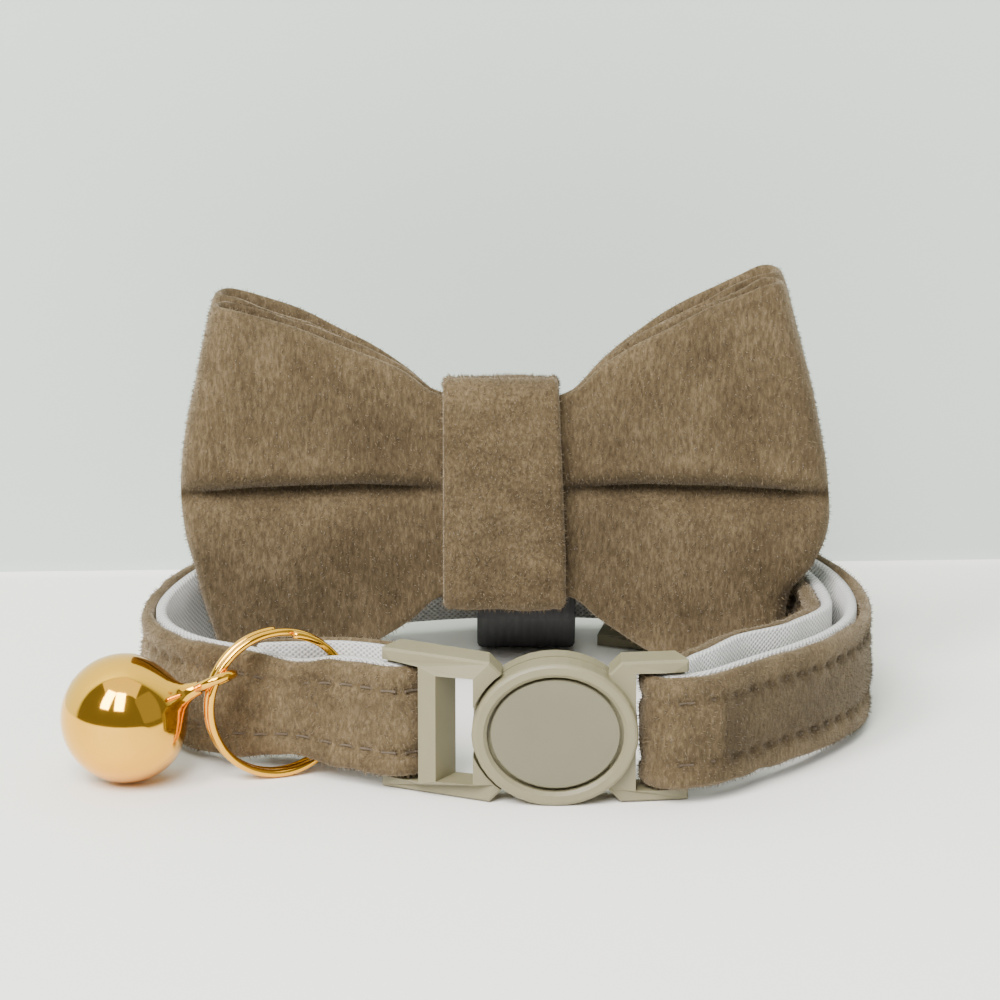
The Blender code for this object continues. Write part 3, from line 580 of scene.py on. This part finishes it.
def strap_tone_and_painted_shading(spot):
    """Painted light and shade on the strap, over a faint random patchiness: painted light on
    the front left; painted shade on the right from the seam, where the nap also turns, but for
    the hems, which get painted highlights.
    """
    x, y = spot.x - loop_origin.x, spot.y - loop_origin.y
    way = math.atan2(x, LOOP_DEPTH / 2 - y) / (2 * math.pi)
    height = abs(spot.z - loop_origin.z) / (STRAP_WIDTH / 2)
    patch = 1.0 + 0.22 * noise.noise(spot * 330.0)
    if TURNED_SHADE_FROM < way < TURNED_SHADE_TO:
        # Painted shade on the right, with painted highlights along the hems.
        hem = min(max((height - 0.55) / 0.25, 0.0), 1.0)
        return patch * (0.62 + 0.40 * hem)
    # Painted light on the front left.
    return patch * (1.08 if x < 0 and y < LOOP_DEPTH / 2 else 1.0)


lay_tone_and_shading(velvet, strap_tone_and_painted_shading)
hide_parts("velvet_strap")
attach(velvet, "root")
grow_pile(velvet, "strap_velvet_pile", 46000, 3)

WEAVE_PITCH = 0.55 * MM
WEAVE_GAP = (0.24, 0.235, 0.23)
WEAVE_YARN = (0.60, 0.595, 0.58)


def webbing_look():
    """Woven webbing: ribs across the strap crossed by a finer warp, in pale grey."""
    look = plain_look("webbing_weave", (0.66, 0.65, 0.63), 0.8)
    tree = look.node_tree
    shader = tree.nodes["Principled BSDF"]
    shader.inputs["Sheen Weight"].default_value = 0.2
    uv = tree.nodes.new("ShaderNodeUVMap")
    uv.uv_map = "lay"
    split = tree.nodes.new("ShaderNodeSeparateXYZ")
    tree.links.new(uv.outputs["UV"], split.inputs["Vector"])
    waves = []
    for axis, pitch in (("X", WEAVE_PITCH), ("Y", WEAVE_PITCH * 0.8)):
        scale = tree.nodes.new("ShaderNodeMath")
        scale.operation = "MULTIPLY"
        scale.inputs[1].default_value = 2 * math.pi / pitch
        tree.links.new(split.outputs[axis], scale.inputs[0])
        wave = tree.nodes.new("ShaderNodeMath")
        wave.operation = "SINE"
        tree.links.new(scale.outputs["Value"], wave.inputs[0])
        waves.append(wave)
    cross = tree.nodes.new("ShaderNodeMath")
    cross.operation = "MULTIPLY"
    tree.links.new(waves[0].outputs["Value"], cross.inputs[0])
    tree.links.new(waves[1].outputs["Value"], cross.inputs[1])
    ramp = colour_ramp(tree, ((0.0, WEAVE_GAP), (0.6, WEAVE_YARN)))
    level = tree.nodes.new("ShaderNodeMapRange")
    level.inputs["From Min"].default_value = -1.0
    tree.links.new(cross.outputs["Value"], level.inputs["Value"])
    tree.links.new(level.outputs["Result"], ramp.inputs["Fac"])
    tree.links.new(ramp.outputs["Color"], shader.inputs["Base Color"])
    bumped(tree, cross.outputs["Value"], 0.6, 0.12 * MM)
    return look


webbing_outline = [(-0.98, 0.02 * MM), (-1.0, 0.45 * MM), (-0.98, 0.93 * MM)]
webbing_outline += [(w, WEBBING_THICK) for w in (-0.5, 0.0, 0.5)]
webbing_outline += [(0.98, 0.93 * MM), (1.0, 0.45 * MM), (0.98, 0.02 * MM)]
webbing_outline += [(w, 0.0) for w in (0.5, 0.0, -0.5)]
webbing = strap_layer("strap_webbing", webbing_outline, webbing_look())
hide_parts("webbing_strap")
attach(webbing, "root")

THREAD_WIDTH = 0.28 * MM
THREAD_SPAN = 1.35 * MM
thread_look = plain_look("hem_thread", (0.085, 0.062, 0.040), 0.7)


def stitch_tree():
    """Geometry nodes that lay short arched threads at a pitch along a line."""
    tree = bpy.data.node_groups.new("stitch_row", "GeometryNodeTree")
    face = tree.interface
    face.new_socket("Geometry", in_out="INPUT", socket_type="NodeSocketGeometry")
    for title, kind, value in (
        ("Pitch", "NodeSocketFloat", STITCH_PITCH),
        ("Span", "NodeSocketFloat", THREAD_SPAN),
        ("Thread width", "NodeSocketFloat", THREAD_WIDTH),
        ("Look", "NodeSocketMaterial", None),
    ):
        socket = face.new_socket(title, in_out="INPUT", socket_type=kind)
        if value is not None:
            socket.default_value = value
    face.new_socket("Geometry", in_out="OUTPUT", socket_type="NodeSocketGeometry")
    add, link = tree.nodes.new, tree.links.new
    given, result = add("NodeGroupInput"), add("NodeGroupOutput")
    line = add("GeometryNodeMeshToCurve")
    link(given.outputs["Geometry"], line.inputs["Mesh"])
    upright = add("GeometryNodeSetCurveNormal")
    upright.mode = "Z_UP"
    link(line.outputs["Curve"], upright.inputs["Curve"])
    places = add("GeometryNodeCurveToPoints")
    places.mode = "LENGTH"
    link(upright.outputs["Curve"], places.inputs["Curve"])
    link(given.outputs["Pitch"], places.inputs["Length"])
    halve = add("ShaderNodeMath")
    halve.operation = "MULTIPLY"
    halve.inputs[1].default_value = 0.5
    link(given.outputs["Span"], halve.inputs[0])
    back = add("ShaderNodeMath")
    back.operation = "MULTIPLY"
    back.inputs[1].default_value = -0.5
    link(given.outputs["Span"], back.inputs[0])
    start, end = add("ShaderNodeCombineXYZ"), add("ShaderNodeCombineXYZ")
    link(back.outputs["Value"], start.inputs["X"])
    link(halve.outputs["Value"], end.inputs["X"])
    arch = add("GeometryNodeCurveQuadraticBezier")
    arch.inputs["Resolution"].default_value = 4
    top = add("ShaderNodeCombineXYZ")
    link(given.outputs["Thread width"], top.inputs["Z"])
    link(start.outputs["Vector"], arch.inputs["Start"])
    link(top.outputs["Vector"], arch.inputs["Middle"])
    link(end.outputs["Vector"], arch.inputs["End"])
    ring = add("GeometryNodeCurvePrimitiveCircle")
    ring.inputs["Resolution"].default_value = 6
    slim = add("ShaderNodeMath")
    slim.operation = "MULTIPLY"
    slim.inputs[1].default_value = 0.5
    link(given.outputs["Thread width"], slim.inputs[0])
    link(slim.outputs["Value"], ring.inputs["Radius"])
    thread = add("GeometryNodeCurveToMesh")
    thread.inputs["Fill Caps"].default_value = True
    link(arch.outputs["Curve"], thread.inputs["Curve"])
    link(ring.outputs["Curve"], thread.inputs["Profile Curve"])
    ahead = add("FunctionNodeAlignRotationToVector")
    ahead.axis = "X"
    link(places.outputs["Tangent"], ahead.inputs["Vector"])
    outward = add("FunctionNodeAlignRotationToVector")
    outward.axis, outward.pivot_axis = "Z", "X"
    link(ahead.outputs["Rotation"], outward.inputs["Rotation"])
    link(places.outputs["Normal"], outward.inputs["Vector"])
    sew = add("GeometryNodeInstanceOnPoints")
    link(places.outputs["Points"], sew.inputs["Points"])
    link(thread.outputs["Mesh"], sew.inputs["Instance"])
    link(outward.outputs["Rotation"], sew.inputs["Rotation"])
    real = add("GeometryNodeRealizeInstances")
    link(sew.outputs["Instances"], real.inputs["Geometry"])
    paint = add("GeometryNodeSetMaterial")
    link(real.outputs["Geometry"], paint.inputs["Geometry"])
    link(given.outputs["Look"], paint.inputs["Material"])
    link(paint.outputs["Geometry"], result.inputs["Geometry"])
    return tree


stitch_row = stitch_tree()


def sewn_row(name, path, look, slot, **settings):
    """One row of stitches along a path of points, as a piece of its own."""
    edges = [(i, i + 1) for i in range(len(path) - 1)]
    line = mesh_piece(name + "_line", path, [], look, edges)
    row = applied(line, stitch_row, name, look=look, **settings)
    bpy.data.objects.remove(line, do_unlink=True)
    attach(row, "root")
    return row


for title, level in (("upper", HEM_STITCH), ("lower", -HEM_STITCH)):
    row_path = []
    for (s, n), flat, head in zip(strap_run, run_flat, run_heads):
        left = Vector((-head[1], head[0]))
        spot = Vector(flat) + left * (VELVET_TO - STITCH_SINK)
        row_path.append((spot.x, spot.y, strap_height(s) + level * half_width(s, n)))
    sewn_row(f"strap_stitches_{title}", row_path, thread_look, "velvet")


# The breakaway buckle and the slider: moulded in warm grey plastic with a satin face. The
# round front carries a plain inset plate, a little darker and smoother than the rim.
def moulded_look(name, colour, rough, grain):
    """Moulded plastic: a faint cloudiness and a very fine texture from the tool."""
    look = plain_look(name, colour, rough)
    tree = look.node_tree
    shader = tree.nodes["Principled BSDF"]
    shader.inputs["Subsurface Weight"].default_value = 0.12
    shader.inputs["Subsurface Radius"].default_value = (0.0012, 0.0010, 0.0008)
    shader.inputs["Subsurface Scale"].default_value = 1.0
    places = tree.nodes.new("ShaderNodeTexCoord")
    cloud = noise_node(tree, places.outputs["Object"], 160.0, 3.0)
    darker, paler = [c * 0.94 for c in colour], [c * 1.04 for c in colour]
    ramp = colour_ramp(tree, ((0.3, darker), (0.7, paler)))
    tree.links.new(cloud.outputs["Fac"], ramp.inputs["Fac"])
    tree.links.new(ramp.outputs["Color"], shader.inputs["Base Color"])
    fine = noise_node(tree, places.outputs["Object"], 2600.0, 2.0)
    bumped(tree, fine.outputs["Fac"], grain, 0.02 * MM)
    return look


buckle_look = moulded_look("buckle_plastic", (0.205, 0.184, 0.108), 0.44, 0.5)
plate_look = moulded_look("plate_plastic", (0.150, 0.138, 0.088), 0.40, 0.3)
for node, look in (
    ("buckle_left", buckle_look),
    ("buckle_right", buckle_look),
    ("slider", buckle_look),
    ("badge_plate", plate_look),
):
    bpy.data.objects[node].material_slots[0].material = look

# The split ring and the bell: brass, gold coloured and polished. The ring is two turns of
# wire side by side; the bell is pressed from sheet, with a cross slit and a wire eye.
def polished_look(name, colour, rough):
    """Polished metal: faint smears in its gloss and a trace of unevenness."""
    look = plain_look(name, colour, rough)
    tree = look.node_tree
    shader = tree.nodes["Principled BSDF"]
    shader.inputs["Metallic"].default_value = 1.0
    places = tree.nodes.new("ShaderNodeTexCoord")
    smear = noise_node(tree, places.outputs["Object"], 420.0, 4.0)
    gloss = tree.nodes.new("ShaderNodeMapRange")
    gloss.inputs["To Min"].default_value = rough * 0.6
    gloss.inputs["To Max"].default_value = rough * 1.6
    tree.links.new(smear.outputs["Fac"], gloss.inputs["Value"])
    tree.links.new(gloss.outputs["Result"], shader.inputs["Roughness"])
    bumped(tree, smear.outputs["Fac"], 0.05, 0.03 * MM)
    return look


gold_look = polished_look("gold_polished", (0.84, 0.44, 0.045), 0.08)
RING_OUTER = 13.2 * MM
RING_WIRE = 0.7 * MM
RING_PITCH = 0.82 * MM
RING_TURNS = 1.97
RING_YAW = math.radians(22.0)
RING_STEPS = 220
WIRE_SIDES = 14
up = Vector((0.0, 0.0, 1.0))


ring_low, ring_high = map(Vector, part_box("split_ring"))
ring_middle = (ring_low + ring_high) / 2
ring_across = Vector((math.cos(RING_YAW), math.sin(RING_YAW), 0.0))
ring_axis = ring_across.cross(up)
ring_radius = (RING_OUTER - RING_WIRE) / 2
ring_line = []
for i in range(RING_STEPS + 1):
    turn = i / RING_STEPS * RING_TURNS
    angle = 2 * math.pi * turn + math.pi / 2
    outward = ring_across * math.cos(angle) + up * math.sin(angle)
    ring_line.append(
        ring_middle + outward * ring_radius + ring_axis * RING_PITCH * (turn - RING_TURNS / 2)
    )


def round_wire(name, line, look, width, frame_side, closed=False):
    """Wire whose cross-sections keep one fixed side direction, for flat coils."""
    count = len(line)
    points, faces = [], []
    for i, spot in enumerate(line):
        ahead = line[(i + 1) % count] if closed or i < count - 1 else spot
        behind = line[i - 1] if closed or i else spot
        over = frame_side.cross((ahead - behind).normalized()).normalized()
        for k in range(WIRE_SIDES):
            angle = 2 * math.pi * k / WIRE_SIDES
            way = frame_side * math.cos(angle) + over * math.sin(angle)
            points.append(spot + way * width / 2)
    for i in range(count if closed else count - 1):
        near, far = i * WIRE_SIDES, (i + 1) % count * WIRE_SIDES
        for k in range(WIRE_SIDES):
            m = (k + 1) % WIRE_SIDES
            faces.append((near + k, near + m, far + m, far + k))
    if not closed:
        faces.append(tuple(range(WIRE_SIDES - 1, -1, -1)))
        faces.append(tuple((count - 1) * WIRE_SIDES + k for k in range(WIRE_SIDES)))
    return mesh_piece(name, points, faces, look)


ring = round_wire("ring_wire", ring_line, gold_look, RING_WIRE, ring_axis)
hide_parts("split_ring")
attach(ring, "root")

BELL_RADIUS = 5.6 * MM
BELL_WALL = 0.5 * MM
BELL_SIDES = 112
BELL_SLIT = 0.75 * MM
BELL_SLIT_REACH = 4.9 * MM
CROSS_SLIT_REACH = 2.0 * MM
SLIT_HALF = 0.62
SLIT_BELOW = 0.90
EYE_RADIUS = 1.65 * MM
EYE_WIRE = 0.8 * MM
EYE_ON_RING = math.radians(24.0)
EYE_REACH = 8.6 * MM
BELL_TAPER = (
    # (distance from the ball's middle, radius), both as shares of BELL_RADIUS
    (0.50, 0.862), (0.58, 0.795), (0.66, 0.715), (0.74, 0.617), (0.82, 0.500),
    (0.89, 0.372), (0.95, 0.262), (1.01, 0.185), (1.08, 0.140), (1.17, 0.115), (1.27, 0.10),
)
held = ring_middle - ring_across * ring_radius * math.cos(EYE_ON_RING)
held += up * ring_radius * math.sin(EYE_ON_RING)
bell_low = Vector(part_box("bell")[0])
bell_middle = bell_low + Vector((1.0, 1.0, 1.0)) * BELL_RADIUS
bell_axis = (held - bell_middle).normalized()
bell_side = bell_axis.cross(up).normalized()
bell_third = bell_axis.cross(bell_side)


def turned_piece(name, rows, look):
    """A closed round shell turned about the bell's axis: rows of (distance, radius)."""
    points, faces = [], []
    for reach, radius in rows:
        for i in range(BELL_SIDES):
            angle = 2 * math.pi * i / BELL_SIDES
            way = bell_side * math.cos(angle) + bell_third * math.sin(angle)
            points.append(bell_middle + bell_axis * reach + way * radius)
    for i in range(len(rows) - 1):
        for j in range(BELL_SIDES):
            k = (j + 1) % BELL_SIDES
            near, far = i * BELL_SIDES, (i + 1) * BELL_SIDES
            faces.append((near + j, near + k, far + k, far + j))
    faces.append(tuple(range(BELL_SIDES - 1, -1, -1)))
    faces.append(tuple((len(rows) - 1) * BELL_SIDES + j for j in range(BELL_SIDES)))
    return mesh_piece(name, points, faces, look)


def ball_rows(radius, taper):
    """Rows of the ball from its bottom, tapering to the neck."""
    rows = []
    for angle in np.linspace(math.pi - 0.03, math.acos(BELL_TAPER[0][0]), 40)[:-1]:
        rows.append((radius * math.cos(angle), radius * math.sin(angle)))
    return rows + [(radius * reach, radius * share) for reach, share in taper]


def carved(base, tool, operation="DIFFERENCE"):
    """The base piece cut by, or joined with, a tool piece, which is used up."""
    cut = base.modifiers.new("cut", "BOOLEAN")
    cut.operation, cut.solver, cut.object = operation, "EXACT", tool
    graph = bpy.context.evaluated_depsgraph_get()
    mesh = bpy.data.meshes.new_from_object(base.evaluated_get(graph))
    base.modifiers.remove(cut)
    base.data = mesh
    bpy.data.objects.remove(tool, do_unlink=True)


bell = turned_piece("bell_shell", ball_rows(BELL_RADIUS, BELL_TAPER), gold_look)
inner_rows = ball_rows(BELL_RADIUS - BELL_WALL, BELL_TAPER[:5] + ((0.86, 0.40),))
carved(bell, turned_piece("hollow", inner_rows, gold_look))
for long, wide in ((CROSS_SLIT_REACH, BELL_SLIT / 2), (BELL_SLIT / 2, BELL_SLIT_REACH)):
    made = bmesh.new()
    bmesh.ops.create_cube(made, size=2.0)
    for corner in made.verts:
        x, y, z = corner.co
        corner.co = (
            bell_middle + bell_side * x * long + bell_third * y * wide
            + bell_axis * BELL_RADIUS * (SLIT_HALF * z - SLIT_BELOW)
        )
    slit_mesh = bpy.data.meshes.new("slit")
    made.to_mesh(slit_mesh)
    made.free()
    slit = bpy.data.objects.new("slit", slit_mesh)
    bpy.context.scene.collection.objects.link(slit)
    carved(bell, slit)
bell.data.set_sharp_from_angle(angle=math.radians(40.0))
wire_way = ring_across * math.sin(EYE_ON_RING) + up * math.cos(EYE_ON_RING)
eye_normal = (wire_way - bell_axis * wire_way.dot(bell_axis)).normalized()
eye_side = eye_normal.cross(bell_axis)
eye_middle = bell_middle + bell_axis * EYE_REACH
eye_line = []
for angle in np.linspace(0.0, 2 * math.pi, 48, endpoint=False):
    outward = bell_axis * math.cos(angle) + eye_side * math.sin(angle)
    eye_line.append(eye_middle + outward * EYE_RADIUS)
eye = round_wire("bell_eye", eye_line, gold_look, EYE_WIRE, eye_normal, closed=True)
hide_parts("bell")
for piece in (bell, eye):
    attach(piece, "root")


# The bow: two flat tubes of velvet, one behind the other, open at the top and bottom and
# pleated across the middle, gathered at the waist by the band.
bow_cloth = velvet_look("velvet_bow_cloth", (3400.0, 3400.0, 1100.0))
band_low, band_high = map(Vector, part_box("bow_center_band"))
waist_x = (band_low.x + band_high.x) / 2
pleat_height = (band_low.z + band_high.z) / 2
PLEAT_ARCH = 0.9 * MM
PLEAT_CUT = 1.6 * MM
PLEAT_LINE = 0.85 * MM
LOBE_SWELL = 0.7 * MM
LOBE_LINE = 1.3 * MM
FRONT_WALL = 2.3 * MM
PLEAT_TUCK = 0.35 * MM
TUCK_ABOVE = 0.5 * MM
TUCK_LINE = 0.6 * MM
CLOTH_WANDER = 0.20 * MM
WAIST_HALF = 0.16


def bow_tube(name, node, pleated):
    """A bow tube smoothed from its solid, with its pleat cut deeper and its cloth uneven."""
    made = bmesh.new()
    made.from_mesh(bpy.data.objects[node].data)
    bmesh.ops.remove_doubles(made, verts=made.verts[:], dist=1e-6)
    bmesh.ops.join_triangles(
        made, faces=made.faces[:], angle_face_threshold=math.radians(40.0),
        angle_shape_threshold=math.radians(60.0),
    )
    mesh = bpy.data.meshes.new(name)
    made.to_mesh(mesh)
    made.free()
    tube = bpy.data.objects.new(name, mesh)
    bpy.context.scene.collection.objects.link(tube)
    soften = tube.modifiers.new("soften", "SUBSURF")
    soften.levels = soften.render_levels = 2
    graph = bpy.context.evaluated_depsgraph_get()
    mesh = bpy.data.meshes.new_from_object(tube.evaluated_get(graph))
    tube.modifiers.remove(soften)
    tube.data = mesh
    mesh.materials.clear()
    mesh.materials.append(bow_cloth)
    low, high = map(Vector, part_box(node))
    reach = (high.x - low.x) / 2
    spots = [vertex.co.copy() for vertex in mesh.vertices]
    outward = [vertex.normal.copy() for vertex in mesh.vertices]
    for vertex, spot, normal in zip(mesh.vertices, spots, outward):
        aside = abs(spot.x - waist_x) / reach
        wing = min(max((aside - WAIST_HALF) / WAIST_HALF, 0.0), 1.0)
        at = spot * 210.0 + Vector((3.0, 0.0, 1.0 if pleated else 7.0))
        vertex.co += normal * noise.noise(at) * CLOTH_WANDER * (0.4 + 0.6 * wing)
        if pleated and spot.y < low.y + FRONT_WALL:
            line = pleat_height + PLEAT_ARCH * math.sin(math.pi * min(aside, 1.0))
            above = spot.z - line
            cut = PLEAT_CUT * math.exp(-((above / PLEAT_LINE) ** 2))
            swell = LOBE_SWELL * math.exp(-(((above - LOBE_LINE) / LOBE_LINE) ** 2))
            fade = wing * min(max((1.02 - aside) / 0.15, 0.0), 1.0)
            vertex.co.y += (cut - swell) * fade
            tuck = math.exp(-(((above - TUCK_ABOVE) / TUCK_LINE) ** 2))
            vertex.co.z -= PLEAT_TUCK * fade * tuck
    mesh.shade_smooth()

    # Painted light and shade on the bow, over random tone: painted light on the upper wings
    # near the waist, painted shade in the pleat's valley and over the lower half.
    def bow_tone_and_painted_shading(spot):
        aside = (spot.x - waist_x) / reach
        rise = (spot.z - pleat_height) / (high.z - pleat_height)
        broad = noise.noise(spot * 95.0 + Vector((0.0, 0.0, 4.0)))
        patch = noise.noise(spot * 420.0)
        waist_light = math.exp(-(((abs(aside) - 0.28) / 0.22) ** 2)) * max(0.0, rise)
        line = pleat_height + PLEAT_ARCH * math.sin(math.pi * min(abs(aside), 1.0))
        valley_shade = 0.42 * math.exp(-(((spot.z - line) / TUCK_LINE) ** 2)) if pleated else 0.0
        tone_and_painted_shading = 0.93 + 0.14 * broad + 0.10 * patch + 0.20 * waist_light - valley_shade
        return tone_and_painted_shading - 0.06 * max(0.0, -rise)

    lay_tone_and_shading(tube, bow_tone_and_painted_shading)
    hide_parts(node)
    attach(tube, "root")
    return tube


front_tube = bow_tube("bow_tube_front", "bow_front_loop", True)
rear_tube = bow_tube("bow_tube_rear", "bow_rear_loop", False)
grow_pile(front_tube, "bow_front_pile", 46000, 11)
grow_pile(rear_tube, "bow_rear_pile", 34000, 12)

# The band round the waist: a flat strip of the same velvet, topstitched along both edges,
# that wraps the tubes and narrows a little towards its top.
BAND_CLOTH = 1.2 * MM
BAND_ROUND = 1.7 * MM
BAND_TAPER = 0.9 * MM
BAND_BACK_DROP = 1.3 * MM
BAND_FRONT_LIFT = 0.4 * MM
BAND_HEM = 0.80
BAND_STRAIGHT = 0.25
HEM_DIMPLE = 0.22 * MM
CREASE = 0.14 * MM
FINE_CREASE = 0.10 * MM


def rounded_outline(corners, radius, step):
    """A closed outline through rounded corners, in even steps, with its outward directions."""
    line = []
    count = len(corners)
    for i, corner in enumerate(corners):
        before = (Vector(corners[i - 1]) - Vector(corner)).normalized()
        after = (Vector(corners[(i + 1) % count]) - Vector(corner)).normalized()
        half = before.angle(after) / 2
        tangent = radius / math.tan(half)
        middle = Vector(corner) + (before + after).normalized() * radius / math.sin(half)
        first = (Vector(corner) + before * tangent - middle).normalized()
        last = (Vector(corner) + after * tangent - middle).normalized()
        for k in range(7):
            line.append(middle + first.slerp(last, k / 6) * radius)
    dense = []
    for a, b in zip(line, line[1:] + line[:1]):
        pieces = max(1, round((b - a).length / step))
        dense += [a.lerp(b, k / pieces) for k in range(pieces)]
    outward = []
    for i, spot in enumerate(dense):
        head = (dense[(i + 1) % len(dense)] - dense[i - 1]).normalized()
        outward.append(Vector((head.y, -head.x)))
    return dense, outward


def hoop_piece(name, corners, radius, middle_x, half, wall, look, shape=None):
    """A closed band of cloth: an outline in Y and Z, swept with a soft-edged section in X."""
    dense, outward = rounded_outline(corners, radius, 0.45 * MM)
    section = [(-0.97, wall * 0.75), (-1.0, wall * 0.5), (-0.97, wall * 0.18)]
    section += [(w, 0.0) for w in np.linspace(-0.9, 0.9, 19)]
    section += [(0.97, wall * 0.18), (1.0, wall * 0.5), (0.97, wall * 0.75)]
    section += [(w, wall) for w in (0.9, 0.3, -0.3, -0.9)]
    points, faces, wide = [], [], len(section)
    travel = 0.0
    for i, (spot, out) in enumerate(zip(dense, outward)):
        travel += (spot - dense[i - 1]).length if i else 0.0
        for share, depth in section:
            across, push = shape(share, depth, spot, travel) if shape else (share * half, 0.0)
            place = spot + out * (push - depth)
            points.append((middle_x + across, place.x, place.y))
    count = len(dense)
    for i in range(count):
        for j in range(wide):
            k, m = (j + 1) % wide, (i + 1) % count
            faces.append((i * wide + j, i * wide + k, m * wide + k, m * wide + j))
    return mesh_piece(name, points, faces, look)


band_half = (band_high.x - band_low.x) / 2
band_corners = [
    (band_low.y, band_low.z), (band_high.y, band_low.z),
    (band_high.y, band_high.z - BAND_BACK_DROP), (band_low.y, band_high.z + BAND_FRONT_LIFT),
]


def band_shape(share, depth, spot, travel):
    """The band's cloth: a taper to the top, hem dimples and a few soft creases across."""
    rise = (spot.y - band_low.z) / (band_high.z - band_low.z)
    across = share * band_half
    if share > 0:
        across -= share * BAND_TAPER * max(0.0, rise - BAND_STRAIGHT)
    at = Vector((share * 1.3, travel * 420, 4.0))
    push = CREASE * noise.noise(at) + FINE_CREASE * noise.noise(at * 2.3)
    if depth < BAND_CLOTH / 2:
        off = (abs(share) - BAND_HEM) / 0.05
        push -= HEM_DIMPLE * math.exp(-(off**2)) * (0.7 + 0.3 * math.cos(travel * 4200))
    return across, push


band_look = velvet_look("velvet_band_cloth", (3400.0, 2600.0, 2200.0))
band = hoop_piece(
    "bow_band", band_corners, BAND_ROUND, waist_x, band_half, BAND_CLOTH, band_look, band_shape,
)
lay_tone_and_shading(band, lambda spot: 1.12 + 0.24 * noise.noise(Vector((spot.x * 260, 0.0, spot.z * 700))))
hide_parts("bow_center_band")
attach(band, "root")
grow_pile(band, "bow_band_pile", 12000, 21)

# The elastic on the bow's back: flat black ribbed elastic, sewn in a loop that goes round
# the strap at the back of the collar and holds the bow up.
ELASTIC_WIDTH = 9.0 * MM
ELASTIC_THICK = 0.8 * MM
ELASTIC_FRONT_RISE = 4.9 * MM
ELASTIC_FOOT = 9.5 * MM
ELASTIC_ROUND = 1.2 * MM
OVER_STRAP = 1.4 * MM
SEWN_ABOVE = 1.0 * MM
elastic_look = plain_look("elastic_black", (0.022, 0.022, 0.024), 0.75)
elastic_tree = elastic_look.node_tree
elastic_places = elastic_tree.nodes.new("ShaderNodeTexCoord")
elastic_ribs = elastic_tree.nodes.new("ShaderNodeTexWave")
elastic_ribs.bands_direction = "X"
elastic_ribs.inputs["Scale"].default_value = 420.0
elastic_ribs.inputs["Distortion"].default_value = 0.6
elastic_tree.links.new(elastic_places.outputs["Object"], elastic_ribs.inputs["Vector"])
bumped(elastic_tree, elastic_ribs.outputs["Fac"], 0.7, 0.12 * MM)
elastic_low, elastic_high = map(Vector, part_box("elastic_loop"))
over_strap = loop_origin.z + STRAP_WIDTH / 2 + OVER_STRAP
elastic_corners = [
    (elastic_low.y, elastic_low.z + ELASTIC_FRONT_RISE),
    (elastic_high.y - ELASTIC_FOOT, elastic_low.z), (elastic_high.y, elastic_low.z),
    (elastic_high.y, over_strap), (elastic_low.y, elastic_high.z + SEWN_ABOVE),
]
elastic = hoop_piece(
    "bow_elastic", elastic_corners, ELASTIC_ROUND, (elastic_low.x + elastic_high.x) / 2,
    ELASTIC_WIDTH / 2, ELASTIC_THICK, elastic_look,
)
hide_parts("elastic_loop")
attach(elastic, "root")
